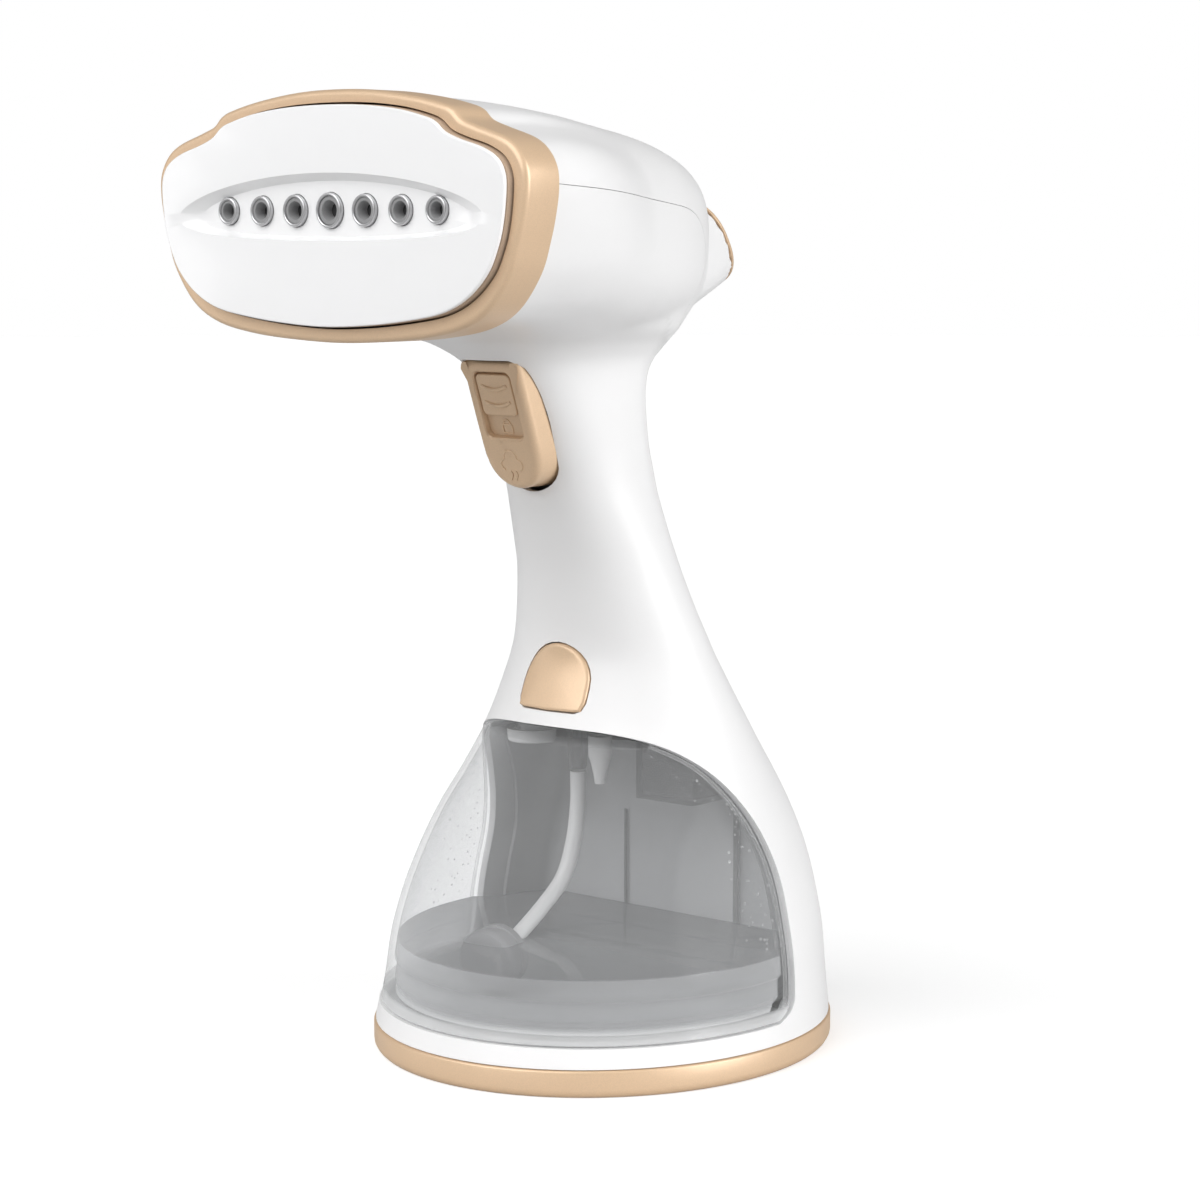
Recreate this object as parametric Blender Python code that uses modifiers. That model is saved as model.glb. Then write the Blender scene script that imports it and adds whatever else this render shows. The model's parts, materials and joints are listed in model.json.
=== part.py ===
"""Handheld garment steamer with a pull-off clear water tank.

Units are millimetres in this file and metres in the scene.  The origin is the centre of the
foot, +Z is up, the steam head faces -Y and the object is symmetric about X = 0.
"""
import math

import bmesh
import bpy
from mathutils import Matrix, Vector

MM = 0.001
CURVE_WELD = 1e-6          # metres; joins a curve's loose caps to its sides

# ---- driving dimensions -------------------------------------------------------------------
WALL = 2.4                 # moulded housing wall
GAP = 0.3                  # clearance between touching pieces
SIDES = 28                 # points round a body section

BASE_TOP = 7.7             # top of the coloured base ring
HOUSING_FOOT = 8.0         # underside of the white housing
FLOOR_TOP = 11.5           # inside floor of the housing, under the tank
TANK_WALL = 2.0

BEZEL_FRONT, BEZEL_BACK = -108.2, -96.0
HEAD_FRONT = BEZEL_BACK + GAP
PANEL_FRONT, PANEL_BACK = -111.2, -105.6
INSULATOR_FRONT = -109.9
RECESS_DEPTH = 2.5
NOZZLE_Z, NOZZLE_PITCH = 239.5, 12.6
NOZZLE_RADII = (4.6, 4.2, 3.9, 3.6)     # from the middle nozzle outwards
HEAD_MID_Z = 238.0

TRIGGER_PIVOT = (0.0, -37.0, 195.5)
TRIGGER_TILT = math.radians(19.6)       # lean of the trigger's front face
LOCK_CENTRE = (0.0, -45.2, 186.5)

# Bell and handle: height, centre depth, half width, front half depth, back half depth
BODY = (
    (8, 0.0, 64.0, 69.5, 69.5), (20, 1.0, 62.5, 67.5, 67.5), (32, 1.6, 61.2, 66.1, 66.1),
    (44, 2.5, 58.7, 63.4, 63.4), (56, 3.7, 55.2, 59.2, 59.2), (68, 4.7, 51.0, 52.7, 52.7),
    (80, 6.0, 46.0, 43.8, 43.8), (92, 6.3, 41.0, 35.2, 35.2), (104, 5.3, 36.3, 28.6, 28.6),
    (116, 3.6, 31.9, 23.4, 23.4), (128, 0.6, 28.0, 21.8, 21.8), (140, -2.7, 24.7, 21.2, 21.2),
    (152, -6.3, 22.2, 21.3, 21.3), (164, -9.4, 20.0, 21.9, 21.8), (176, -10.9, 19.1, 25.0, 20.6),
    (188, -11.5, 19.0, 30.2, 19.8), (193, -11.3, 19.3, 35.0, 19.9), (198, -11.0, 20.4, 42.0, 20.6),
    (203, -10.5, 23.0, 53.0, 22.0), (208, -10.0, 26.0, 64.0, 23.0), (217, -10.0, 23.0, 62.0, 21.0))
# Head: depth, half width, top height, bottom height
HEAD = (
    (HEAD_FRONT, 64.6, 268.6, 207.4), (-82, 61.6, 268.2, 205.2), (-64, 57.4, 267.0, 203.4),
    (-46, 52.6, 266.0, 202.6), (-28, 47.2, 264.0, 202.8), (-12, 41.8, 261.8, 203.8),
    (0, 36.6, 259.2, 205.4), (8, 31.8, 256.8, 208.0), (14, 26.4, 253.6, 211.5), (18, 20.6, 250.0, 216.0),
    (21, 12.5, 245.0, 222.0))
# Rear hump: centre depth, centre height, half width, half height, all in leaning planes
HUMP_LEAN = math.radians(31.5)
HUMP = ((5.0, 224.0, 25.0, 19.5), (20.0, 227.6, 21.6, 17.4), (30.0, 229.8, 18.8, 16.0), (34.9, 231.0, 17.4, 15.4))

# Right half of the bezel's outline seen from the front, top to bottom
BEZEL_HALF = (
    (0, 270.3), (14, 269.8), (28, 268.0), (38, 265.9), (42, 264.4), (45, 261.9), (50, 260.1), (59, 257.2),
    (63.6, 254.0), (66.2, 249.6), (66.6, 244.5), (65.7, 238.5), (64.0, 232.0), (60.8, 223.6), (53.6, 214.7),
    (44.0, 209.8), (30.0, 207.2), (15.0, 206.0), (0, 205.5))
PANEL_HALF = (
    (0, 266.5), (14, 266.1), (26, 264.8), (35, 262.8), (38.7, 261.4), (42, 258.9), (47, 257.0), (54.3, 254.9),
    (59.4, 252.2), (61.8, 248.6), (62.2, 244.0), (61.2, 236.0), (59.4, 230.0), (56.0, 223.6), (49.4, 217.6),
    (40.5, 213.6), (27.5, 211.4), (13.0, 210.0), (0, 209.5))

# Side view (depth, height) of the tank window's edge, from the foot round to the top
WINDOW_EDGE = (
    (-90, 13.4), (2, 13.4), (8.6, 16.4), (11.0, 22), (11.4, 40), (11.2, 53), (8.3, 64), (3.7, 73), (-2, 80.7),
    (-8.3, 86.7), (-15, 91.3), (-22, 94.2), (-28, 95.4), (-90, 95.4))
# Side view of the seam that splits the top and rear cover from the housing
COVER_SEAM = (
    (-96, 246.0), (-60, 244.0), (-28, 241.8), (-12, 240.0), (-3.5, 236.0), (1.6, 229.5), (3.0, 222), (3.4, 207),
    (9, 202), (30, 196), (70, 196))
BACK_WEDGE = ((0, 2), (70, 72), (70, 110), (-70, 110), (-70, 72))
BACK_COVER_Z = (13.0, 192.0)

# The trigger's side view (depth, height), from its top front corner round to its back
TRIGGER_SIDE = ((-49.6, 198.6), (-46.2, 189.4), (-43.0, 181.0), (-39.8, 171.5), (-37.6, 162.6), (-29.2, 162.6),
                (-31.4, 170.0), (-34.0, 180.0), (-35.2, 188.0), (-34.0, 193.0), (-34.0, 198.6))

# ---- base and tank ------------------------------------------------------------------------
SCREW_PLACES = [(x, y) for x in (-36, 36) for y in (-36, 36)]
SCREW_HOLE = 1.9           # radius
TANK_BACK = 38.0           # limit of the tank's rear wall
TANK_CLEARANCE = 4.6       # from the bell's outside to the tank's rear part
TANK_SIDE_GAP = 3.4        # from the window's edge inwards to the tank's rear part
TANK_PLAY = 0.35           # from the bell's surface to the tank's front
TANK_TOP = 92.4            # above it only the front lip stands
LIP_DEPTH = 3.0
LID_JOINT = 84.0           # the tank's two mouldings meet here
FRONT_STEPS = 8
TANK_LEVELS = (13.9, 17, 22, 30, 40, 52, 62, 70, 76, 81, 85, 88, 90.5, 92.4, 92.8, 94.6)
BAY_LEVELS = (14.5, 22, 30, 40, 52, 62, 70, 76, 81, 85)
PLUG_PLACE, MOUTH_RADIUS = (-19.6, -9.3), 4.8
PORT_PLACE, PORT_RADIUS = (-9.9, 0.0), 3.6
HOSE_RADIUS = 2.3
HOSE_ROUTE = ((-9.9, 0, 77.2), (-9.9, 0, 68), (-9.6, -2.2, 57.4), (-10, -6.5, 46.6), (-11, -15.2, 38.6),
              (-12.3, -25.2, 31.2))
FILTER_START, FILTER_END = (-14.8, -26.9, 27.2), (-13.2, -37.7, 26.1)

# ---- small mechanisms -----------------------------------------------------------------------
LATCH_PIVOT = (-9.0, 99.5)  # depth, height
PIN_RADIUS, PIN_BORE = 1.1, 1.4
BRACKET_HALF, EAR = 5.2, 1.6
GLAND_PLACE = (0.0, 72.6, 24.0)
GLAND_BORE = 3.4
PUMP_ENDS = ((0, -1, 116), (0, -6, 150))

MODEL = None
CUTTERS = None


# ---- scene and materials ------------------------------------------------------------------
def start_scene():
    global MODEL, CUTTERS
    for obj in list(bpy.data.objects):
        bpy.data.objects.remove(obj, do_unlink=True)
    MODEL = bpy.data.collections.new("garment_steamer")
    CUTTERS = bpy.data.collections.new("cutters")
    for coll in (MODEL, CUTTERS):
        bpy.context.scene.collection.children.link(coll)


def material(name, colour, roughness, metallic=0.0, alpha=1.0):
    mat = bpy.data.materials.new(name)
    mat.use_nodes = True
    shader = mat.node_tree.nodes["Principled BSDF"]
    shader.inputs["Base Color"].default_value = (*colour, 1.0)
    shader.inputs["Roughness"].default_value = roughness
    shader.inputs["Metallic"].default_value = metallic
    shader.inputs["Alpha"].default_value = alpha
    return mat


def make_materials():
    return {
        "white_plastic": material("white_plastic", (0.86, 0.86, 0.87), 0.35),
        "gold_plastic": material("gold_plastic", (0.67, 0.50, 0.35), 0.42),
        "panel": material("panel", (0.90, 0.90, 0.91), 0.25),
        "insulator": material("insulator", (0.55, 0.43, 0.33), 0.5),
        "chrome": material("chrome", (0.62, 0.62, 0.64), 0.18, 1.0),
        "clear_plastic": material("clear_plastic", (0.93, 0.95, 0.96), 0.05, 0.0, 0.35),
        "grey_plastic": material("grey_plastic", (0.42, 0.42, 0.43), 0.5),
        "black_plastic": material("black_plastic", (0.03, 0.03, 0.035), 0.5),
        "silicone": material("silicone", (0.82, 0.83, 0.83), 0.45),
        "rubber": material("rubber", (0.12, 0.12, 0.12), 0.8),
        "aluminium": material("aluminium", (0.66, 0.67, 0.68), 0.45, 1.0),
        "steel": material("steel", (0.6, 0.6, 0.6), 0.3, 1.0),
        "copper": material("copper", (0.70, 0.36, 0.20), 0.35, 1.0),
        "board": material("board", (0.05, 0.24, 0.10), 0.5),
        "lamp": material("lamp", (0.85, 0.9, 0.95), 0.2),
    }


# ---- basic shapes -------------------------------------------------------------------------
def add_mesh(name, bm, cutter=False):
    bmesh.ops.recalc_face_normals(bm, faces=bm.faces)
    mesh = bpy.data.meshes.new(name)
    bm.to_mesh(mesh)
    bm.free()
    mesh.shade_smooth()
    mesh.set_sharp_from_angle(angle=math.radians(32))
    obj = bpy.data.objects.new(name, mesh)
    (CUTTERS if cutter else MODEL).objects.link(obj)
    if cutter:
        obj.hide_render = True
        obj.display_type = "WIRE"
    return obj


def box(name, low, high, cutter=False):
    bm = bmesh.new()
    bmesh.ops.create_cube(bm, size=1.0)
    size = [(b - a) * MM for a, b in zip(low, high)]
    middle = Vector([(a + b) / 2 * MM for a, b in zip(low, high)])
    bmesh.ops.scale(bm, vec=size, verts=bm.verts)
    bmesh.ops.translate(bm, vec=middle, verts=bm.verts)
    return add_mesh(name, bm, cutter)


def leaning_box(name, centre, size, lean, cutter=False):
    """A box turned about X by lean."""
    half = [s / 2 for s in size]
    obj = box(name, [-h for h in half], half, cutter)
    turn = Matrix.Translation(Vector(centre) * MM) @ Matrix.Rotation(lean, 4, "X")
    obj.data.transform(turn)
    return obj


def rod(name, start, end, radius, end_radius=None, sides=20, cutter=False):
    """A cylinder or a cone between two points."""
    a, b = Vector(start) * MM, Vector(end) * MM
    bm = bmesh.new()
    bmesh.ops.create_cone(bm, cap_ends=True, segments=sides, radius1=radius * MM,
                          radius2=(radius if end_radius is None else end_radius) * MM, depth=(b - a).length)
    turn = Vector((0, 0, 1)).rotation_difference(b - a).to_matrix().to_4x4()
    bmesh.ops.transform(bm, matrix=Matrix.Translation((a + b) / 2) @ turn, verts=bm.verts)
    return add_mesh(name, bm, cutter)


def turned(name, profile, place=Matrix(), sides=28, cutter=False):
    """A closed ring: a profile of (radius, height) points turned about Z with a Screw modifier."""
    mesh = bpy.data.meshes.new(name)
    points = [(r * MM, 0, z * MM) for r, z in profile]
    edges = [(i, (i + 1) % len(points)) for i in range(len(points))]
    mesh.from_pydata(points, edges, [])
    obj = bpy.data.objects.new(name, mesh)
    (CUTTERS if cutter else MODEL).objects.link(obj)
    screw = obj.modifiers.new("turn", "SCREW")
    screw.steps = screw.render_steps = sides
    screw.use_merge_vertices = True
    screw.merge_threshold = 1e-6
    screw.use_normal_calculate = True
    return apply_all(obj, place, CURVE_WELD)


def apply_all(obj, place=Matrix(), weld=0.0):
    """Turns an object and its modifiers or bevelled curve into a plain closed mesh."""
    bpy.context.view_layer.update()
    done = obj.evaluated_get(bpy.context.evaluated_depsgraph_get())
    mesh = bpy.data.meshes.new_from_object(done)
    bm = bmesh.new()
    bm.from_mesh(mesh)
    bpy.data.meshes.remove(mesh)
    if weld:
        bmesh.ops.remove_doubles(bm, verts=bm.verts, dist=weld)
    bmesh.ops.transform(bm, matrix=place @ obj.matrix_world, verts=bm.verts)
    name, cutter = obj.name, obj.name in CUTTERS.objects
    bpy.data.objects.remove(obj, do_unlink=True)
    return add_mesh(name, bm, cutter)


def tube(name, points, radius, resolution=2, cutter=False):
    """A round wire or hose along a smooth curve through its points."""
    curve = bpy.data.curves.new(name, "CURVE")
    curve.dimensions = "3D"
    curve.bevel_depth = radius * MM
    curve.bevel_resolution = resolution
    curve.use_fill_caps = True
    curve.render_resolution_u = 0
    smooth = smooth_path(points)
    spline = curve.splines.new("POLY")
    spline.points.add(len(smooth) - 1)
    for slot, point in zip(spline.points, smooth):
        slot.co = (*(Vector(point) * MM), 1.0)
    obj = bpy.data.objects.new(name, curve)
    (CUTTERS if cutter else MODEL).objects.link(obj)
    return apply_all(obj, weld=CURVE_WELD)


def smooth_path(points, steps=3):
    """Catmull-Rom points through the given ones."""
    path = [Vector(p) for p in points]
    if len(path) < 3:
        return path
    path = [2 * path[0] - path[1]] + path + [2 * path[-1] - path[-2]]
    out = []
    for a, b, c, d in zip(path, path[1:], path[2:], path[3:]):
        for k in range(steps):
            t = k / steps
            out.append(0.5 * (2 * b + (c - a) * t + (2 * a - 5 * b + 4 * c - d) * t * t
                              + (3 * b - a - 3 * c + d) * t ** 3))
    return out + [path[-2]]


def outline_plate(name, outlines, low, high, facing="Y", cutter=False):
    """A flat outline, with any holes as further outlines, extruded from low to high along facing."""
    curve = bpy.data.curves.new(name, "CURVE")
    curve.dimensions = "2D"
    curve.fill_mode = "BOTH"
    curve.extrude = (high - low) / 2 * MM
    curve.render_resolution_u = 0
    for outline in outlines:
        spline = curve.splines.new("POLY")
        spline.points.add(len(outline) - 1)
        for slot, (u, v) in zip(spline.points, outline):
            slot.co = (u * MM, v * MM, 0, 1)
        spline.use_cyclic_u = True
    obj = bpy.data.objects.new(name, curve)
    (CUTTERS if cutter else MODEL).objects.link(obj)
    middle = (low + high) / 2 * MM
    place = {
        "Y": Matrix.Translation((0, middle, 0)) @ Matrix.Rotation(math.pi / 2, 4, "X"),
        "X": Matrix.Translation((middle, 0, 0)) @ Matrix(((0, 0, 1, 0), (1, 0, 0, 0), (0, 1, 0, 0), (0, 0, 0, 1))),
        "Z": Matrix.Translation((0, 0, middle)),
    }[facing]
    return apply_all(obj, place, CURVE_WELD)


def loft(name, rings, closed_loop=False, cutter=False):
    """Joins rings with the same number of points; the ends are capped unless the rings form a loop."""
    bm = bmesh.new()
    rows = [[bm.verts.new(Vector(p) * MM) for p in ring] for ring in rings]
    count = len(rows[0])
    pairs = list(zip(rows, rows[1:] + rows[:1])) if closed_loop else list(zip(rows, rows[1:]))
    for lower, upper in pairs:
        for i in range(count):
            j = (i + 1) % count
            bm.faces.new((lower[i], lower[j], upper[j], upper[i]))
    if not closed_loop:
        bm.faces.new(rows[0][::-1])
        bm.faces.new(rows[-1])
    return add_mesh(name, bm, cutter)


def cut(obj, *tools, how="DIFFERENCE"):
    """Applies Boolean modifiers one after another and keeps the result as the object's mesh."""
    for tool in tools:
        step = obj.modifiers.new(how.lower(), "BOOLEAN")
        step.operation = how
        step.solver = "EXACT"
        step.object = tool
    return apply_all(obj)


def copy_of(obj, name, cutter=False):
    twin = bpy.data.objects.new(name, obj.data.copy())
    (CUTTERS if cutter else MODEL).objects.link(twin)
    if cutter:
        twin.hide_render = True
        twin.display_type = "WIRE"
    return twin


def softened(obj, width, segments=1, angle=35):
    """Rounds the object's sharp edges."""
    weld = obj.modifiers.new("weld", "WELD")
    weld.merge_threshold = 1e-6
    bevel = obj.modifiers.new("soft_edge", "BEVEL")
    bevel.width = width * MM
    bevel.segments = segments
    bevel.limit_method = "ANGLE"
    bevel.angle_limit = math.radians(angle)
    return apply_all(obj)


def paint(obj, mat):
    obj.data.materials.clear()
    obj.data.materials.append(mat)
    return obj


# ---- outlines and sections ----------------------------------------------------------------
def mirrored(half):
    """A full outline from its right half, which starts and ends on the centre line."""
    return list(half) + [(-u, v) for u, v in half[-2:0:-1]]


def inset(outline, amount):
    """The outline moved inwards by amount."""
    out = []
    count = len(outline)
    for i, (u, v) in enumerate(outline):
        before, after = Vector(outline[i - 1]), Vector(outline[(i + 1) % count])
        here = Vector((u, v))
        first, second = (here - before).normalized(), (after - here).normalized()
        along = (first + second).normalized()
        normal = Vector((along.y, -along.x))
        spread = max(0.6, normal.dot(Vector((first.y, -first.x))))
        out.append(tuple(here + normal * amount / spread))
    return out


def superellipse(half_width, half_height, power, count):
    points = []
    for i in range(count):
        angle = 2 * math.pi * i / count
        c, s = math.cos(angle), math.sin(angle)
        points.append((half_width * math.copysign(abs(c) ** (2 / power), c),
                       half_height * math.copysign(abs(s) ** (2 / power), s)))
    return points


def interpolate(table, value):
    for low, high in zip(table, table[1:]):
        if low[0] <= value <= high[0]:
            t = (value - low[0]) / (high[0] - low[0])
            return [a + (b - a) * t for a, b in zip(low, high)]
    return list(table[0] if value < table[0][0] else table[-1])


def body_ring(z, shrink=0.0):
    _, centre, half, front, back = interpolate(BODY, z)
    squareness = 1 - 0.22 * min(1.0, max(0.0, (z - 140) / 40))
    ring = []
    for i in range(SIDES):
        angle = 2 * math.pi * i / SIDES
        across, along = math.sin(angle), math.cos(angle)
        if along > 0:
            across, along = math.copysign(abs(across) ** squareness, across), along ** squareness
        depth = front if along > 0 else back
        ring.append(((half - shrink) * across, centre - (depth - shrink) * along, z))
    return ring


def bezel_radius(angle):
    """Distance from the head's middle to the bezel's outline in one direction."""
    way = Vector((math.cos(angle), math.sin(angle)))
    outline = [Vector((u, v - HEAD_MID_Z)) for u, v in mirrored(BEZEL_HALF)]
    best = 0.0
    for a, b in zip(outline, outline[1:] + outline[:1]):
        edge = b - a
        cross = way.x * edge.y - way.y * edge.x
        if abs(cross) < 1e-9:
            continue
        t = (a.x * edge.y - a.y * edge.x) / cross
        s = (a.x * way.y - a.y * way.x) / cross
        if t > 0 and -1e-6 <= s <= 1 + 1e-6:
            best = max(best, t)
    return best


def head_ring(station, shrink=0.0):
    """Head section: the bezel's outline at the front, turning into a soft rectangle behind."""
    depth, half, top, bottom = station
    blend = min(1.0, max(0.0, (depth - HEAD_FRONT) / 60.0))
    middle, tall = (top + bottom) / 2, (top - bottom) / 2
    ring = []
    for i in range(SIDES + 4):
        angle = 2 * math.pi * i / (SIDES + 4)
        c, s = math.cos(angle), math.sin(angle)
        reach = bezel_radius(angle) * 0.972
        face = (reach * c, HEAD_MID_Z + reach * s)
        soft = (half * math.copysign(abs(c) ** 0.8, c), middle + tall * math.copysign(abs(s) ** 0.8, s))
        u = face[0] * (1 - blend) + soft[0] * blend
        v = face[1] * (1 - blend) + soft[1] * blend
        scale_u = (half - shrink) / half
        scale_v = (tall - shrink) / tall
        ring.append((u * scale_u, depth, middle + (v - middle) * scale_v))
    return ring


def hump_ring(station, shrink=0.0):
    depth, height, half, tall = station
    lean = Matrix.Rotation(HUMP_LEAN, 3, "X")
    ring = []
    for u, v in superellipse(half - shrink, tall - shrink, 2.5, SIDES - 4):
        ring.append(Vector((0, depth, height)) + lean @ Vector((u, 0, v)))
    return ring


def arch(half_width, bottom, top, corner=3.0, steps=9):
    """An outline with a rounded top and small bottom corners, anticlockwise from the lower left."""
    rise = min(top - bottom, half_width)
    points = [(-half_width + corner, bottom), (half_width - corner, bottom), (half_width, bottom + corner)]
    for i in range(steps + 1):
        angle = math.pi * i / steps
        points.append((half_width * math.cos(angle), top - rise + rise * math.sin(angle)))
    points.append((-half_width, bottom + corner))
    return points


# ---- the housing ---------------------------------------------------------------------------
def whole_form(name, shrink, front, foot):
    """Bell, handle, head and rear hump as one solid, moved inwards by shrink."""
    levels = [foot] + [row[0] for row in BODY if row[0] > foot + 3]
    levels[-1] += shrink
    bell = loft(name, [body_ring(z, shrink) for z in levels], cutter=True)
    stations = [(front, *HEAD[0][1:])] + list(HEAD[1:])
    if shrink:
        stations = [(d - (shrink if i > len(stations) - 3 else 0), *rest) for i, (d, *rest) in enumerate(stations)]
    head = loft(name + "_head", [head_ring(s, shrink) for s in stations], cutter=True)
    humps = list(HUMP[:-1]) + [(HUMP[-1][0] - shrink, *HUMP[-1][1:])]
    hump = loft(name + "_hump", [hump_ring(s, shrink) for s in humps], cutter=True)
    return cut(bell, head, hump, how="UNION")


def seam_tools():
    window = outline_plate("window_tool", [WINDOW_EDGE], -90, 90, "X", cutter=True)
    above = list(COVER_SEAM) + [(70, 290), (-110, 290), (-110, COVER_SEAM[0][1])]
    cover = outline_plate("cover_tool", [above], -90, 90, "X", cutter=True)
    lowered = [(d, z - GAP) for d, z in COVER_SEAM]
    lowered = [(d - (GAP if 1 < d < 9 else 0), z) for d, z in lowered]
    below = lowered + [(70, 290), (-110, 290), (-110, lowered[0][1])]
    clear = outline_plate("cover_clearance", [below], -90, 90, "X", cutter=True)
    low, high = BACK_COVER_Z
    wedge = outline_plate("back_tool", [BACK_WEDGE], low, high, "Z", cutter=True)
    wider = [(u, v - 0.45) for u, v in BACK_WEDGE]
    wedge_clear = outline_plate("back_clearance", [wider], low - GAP, high + GAP, "Z", cutter=True)
    return window, cover, clear, wedge, wedge_clear


def trigger_outline(grow=0.0):
    half, top, bottom = 10.6 + grow, 199.0 + grow, 162.2 - grow
    lower = [(half * 0.92 * math.cos(a), bottom + 8.5 + 8.5 * math.sin(a))
             for a in [math.radians(180 + 22.5 * k) for k in range(9)]]
    return lower + [(half, 182), (half, top - 2.0), (half - 2.0, top), (-half + 2.0, top), (-half, top - 2.0),
                    (-half, 182)]


def make_housing(mats):
    outer = whole_form("main_form", 0.0, HEAD_FRONT, HOUSING_FOOT)
    inner = whole_form("inner_form", WALL, HEAD_FRONT - 4, FLOOR_TOP)
    window, cover, clear, wedge, wedge_clear = seam_tools()
    shell = cut(copy_of(outer, "shell_form", cutter=True), inner)

    top = cut(copy_of(shell, "head_top_cover"), cover, how="INTERSECT")
    back = cut(copy_of(shell, "back_cover"), wedge, how="INTERSECT")
    _, y, z = GLAND_PLACE
    gland_hole = rod("gland_hole", (0, y - 22, z), (0, y + 18, z), 5.4, cutter=True)
    back = cut(back, gland_hole)

    main = copy_of(shell, "main_housing")
    trigger_hole = outline_plate("trigger_hole", [trigger_outline(0.5)], -80, -24, "Y", cutter=True)
    button_hole = outline_plate("button_hole", [arch(12.4, 99.0, 118.4)], -40, -10, "Y", cutter=True)
    screws = [rod(f"screw_hole_{i}", (x, y, 4), (x, y, 14), SCREW_HOLE, sides=12, cutter=True)
              for i, (x, y) in enumerate(SCREW_PLACES)]
    pin = rod("housing_pin_hole", (-13.1, *TRIGGER_PIVOT[1:]), (13.1, *TRIGGER_PIVOT[1:]), PIN_BORE, sides=12,
              cutter=True)
    main = cut(main, window, clear, wedge_clear, trigger_hole, button_hole, pin, *screws)
    rear_hole = leaning_rod("rear_panel_hole", (0, *HUMP[-1][:2]), 30, 12.6, cutter=True)
    top = cut(top, rear_hole)
    for obj in (main, top, back):
        paint(obj, mats["white_plastic"])


def leaning_rod(name, centre, length, radius, sides=28, cutter=False):
    """A cylinder square to the hump's leaning rear face."""
    along = Matrix.Rotation(HUMP_LEAN, 3, "X") @ Vector((0, 1, 0))
    middle = Vector(centre)
    return rod(name, middle - along * length / 2, middle + along * length / 2, radius, sides=sides, cutter=cutter)


# ---- base ----------------------------------------------------------------------------------
def ellipse_ring(half, deep, z, count=32):
    return [(half * math.sin(2 * math.pi * i / count), -deep * math.cos(2 * math.pi * i / count), z)
            for i in range(count)]


def make_base(mats):
    profile = ((62.6, 0.0), (63.9, 0.7), (64.5, 2.0), (64.4, BASE_TOP), (58.6, BASE_TOP), (58.6, 0.0))
    ring = loft("base_ring", [ellipse_ring(r, r + 5.5, z) for r, z in profile], closed_loop=True)
    paint(ring, mats["gold_plastic"])
    plate = loft("base_plate", [ellipse_ring(58.2, 63.7, z) for z in (2.4, BASE_TOP)])
    holes = []
    for i, (x, y) in enumerate(SCREW_PLACES):
        holes.append(rod(f"plate_hole_{i}", (x, y, 1), (x, y, 9), SCREW_HOLE, sides=12, cutter=True))
        holes.append(rod(f"plate_sink_{i}", (x, y, 1), (x, y, 4.4), 3.4, sides=16, cutter=True))
    paint(cut(plate, *holes), mats["grey_plastic"])
    pad = loft("foot_pad", [ellipse_ring(57.2, 62.7, 0.0), ellipse_ring(58.2, 63.7, 0.8),
                            ellipse_ring(58.2, 63.7, 2.1)])
    paint(pad, mats["rubber"])
    for i, (x, y) in enumerate(SCREW_PLACES):
        shaft = rod(f"base_screw_{i + 1}", (x, y, 3.6), (x, y, 11.2), 1.5, sides=12)
        head = rod(f"screw_head_{i}", (x, y, 2.6), (x, y, 4.1), 3.0, sides=16, cutter=True)
        paint(cut(shaft, head, how="UNION"), mats["steel"])


# ---- water tank ----------------------------------------------------------------------------
def window_half_width(z):
    """Half width of the window's opening at a height, where its edge meets the bell."""
    edge = [p for p in WINDOW_EDGE if p[0] > -60]
    depth = None
    for (d0, z0), (d1, z1) in zip(edge, edge[1:]):
        if z0 <= z <= z1 and z1 > z0:
            depth = d0 + (d1 - d0) * (z - z0) / (z1 - z0)
    if depth is None:
        depth = edge[0][0]
    _, centre, half, front, back = interpolate(BODY, z)
    reach = (depth - centre) / (front if depth < centre else back)
    return half * math.sqrt(max(0.0, 1 - reach * reach)), depth


def rear_rows(z, shrink, side_gap, lead=0.8, steps=5):
    """Right side of a box behind the window: it clears the window's sides and the bell's wall."""
    width, depth = window_half_width(z)
    _, centre, half, _, back = interpolate(BODY, z)
    shoulder = max(1.0, width - side_gap)
    rear = min(TANK_BACK, centre + back - 14) - shrink
    if z > TANK_TOP:
        rear = depth + LIP_DEPTH
    start = depth + lead
    rows = []
    for k in range(steps + 1):
        y = start + (rear - start) * k / steps
        reach = (y - centre) / (back - shrink)
        rows.append((min(shoulder, (half - shrink) * math.sqrt(max(0.04, 1 - reach * reach))), y))
    x, y = rows[-1]
    corner = min(3.0, (rear - start) * 0.15)
    return rows[:-1] + [(x, y - corner), (x - min(corner + 1, x / 2), y)]


def tank_ring(z, shrink):
    """One level of the tank: the bell's curve in front of the window, a narrower box behind it."""
    width, depth = window_half_width(z)
    _, centre, half, front, _ = interpolate(BODY, z)
    edge = math.asin(min(1.0, width / half))
    if depth > centre:
        edge = math.pi - edge
    edge -= 0.028 + 0.05 * max(0.0, (z - 86) / 8) + shrink / (half + 20)
    points = []
    for i in range(-FRONT_STEPS, FRONT_STEPS + 1):
        angle = edge * i / FRONT_STEPS
        points.append(((half - shrink) * math.sin(angle), centre - (front - shrink) * math.cos(angle), z))
    right = [(x, y, z) for x, y in rear_rows(z, TANK_CLEARANCE + shrink, TANK_SIDE_GAP + shrink)]
    return points + right + [(-x, y, h) for x, y, h in reversed(right)]


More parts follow.
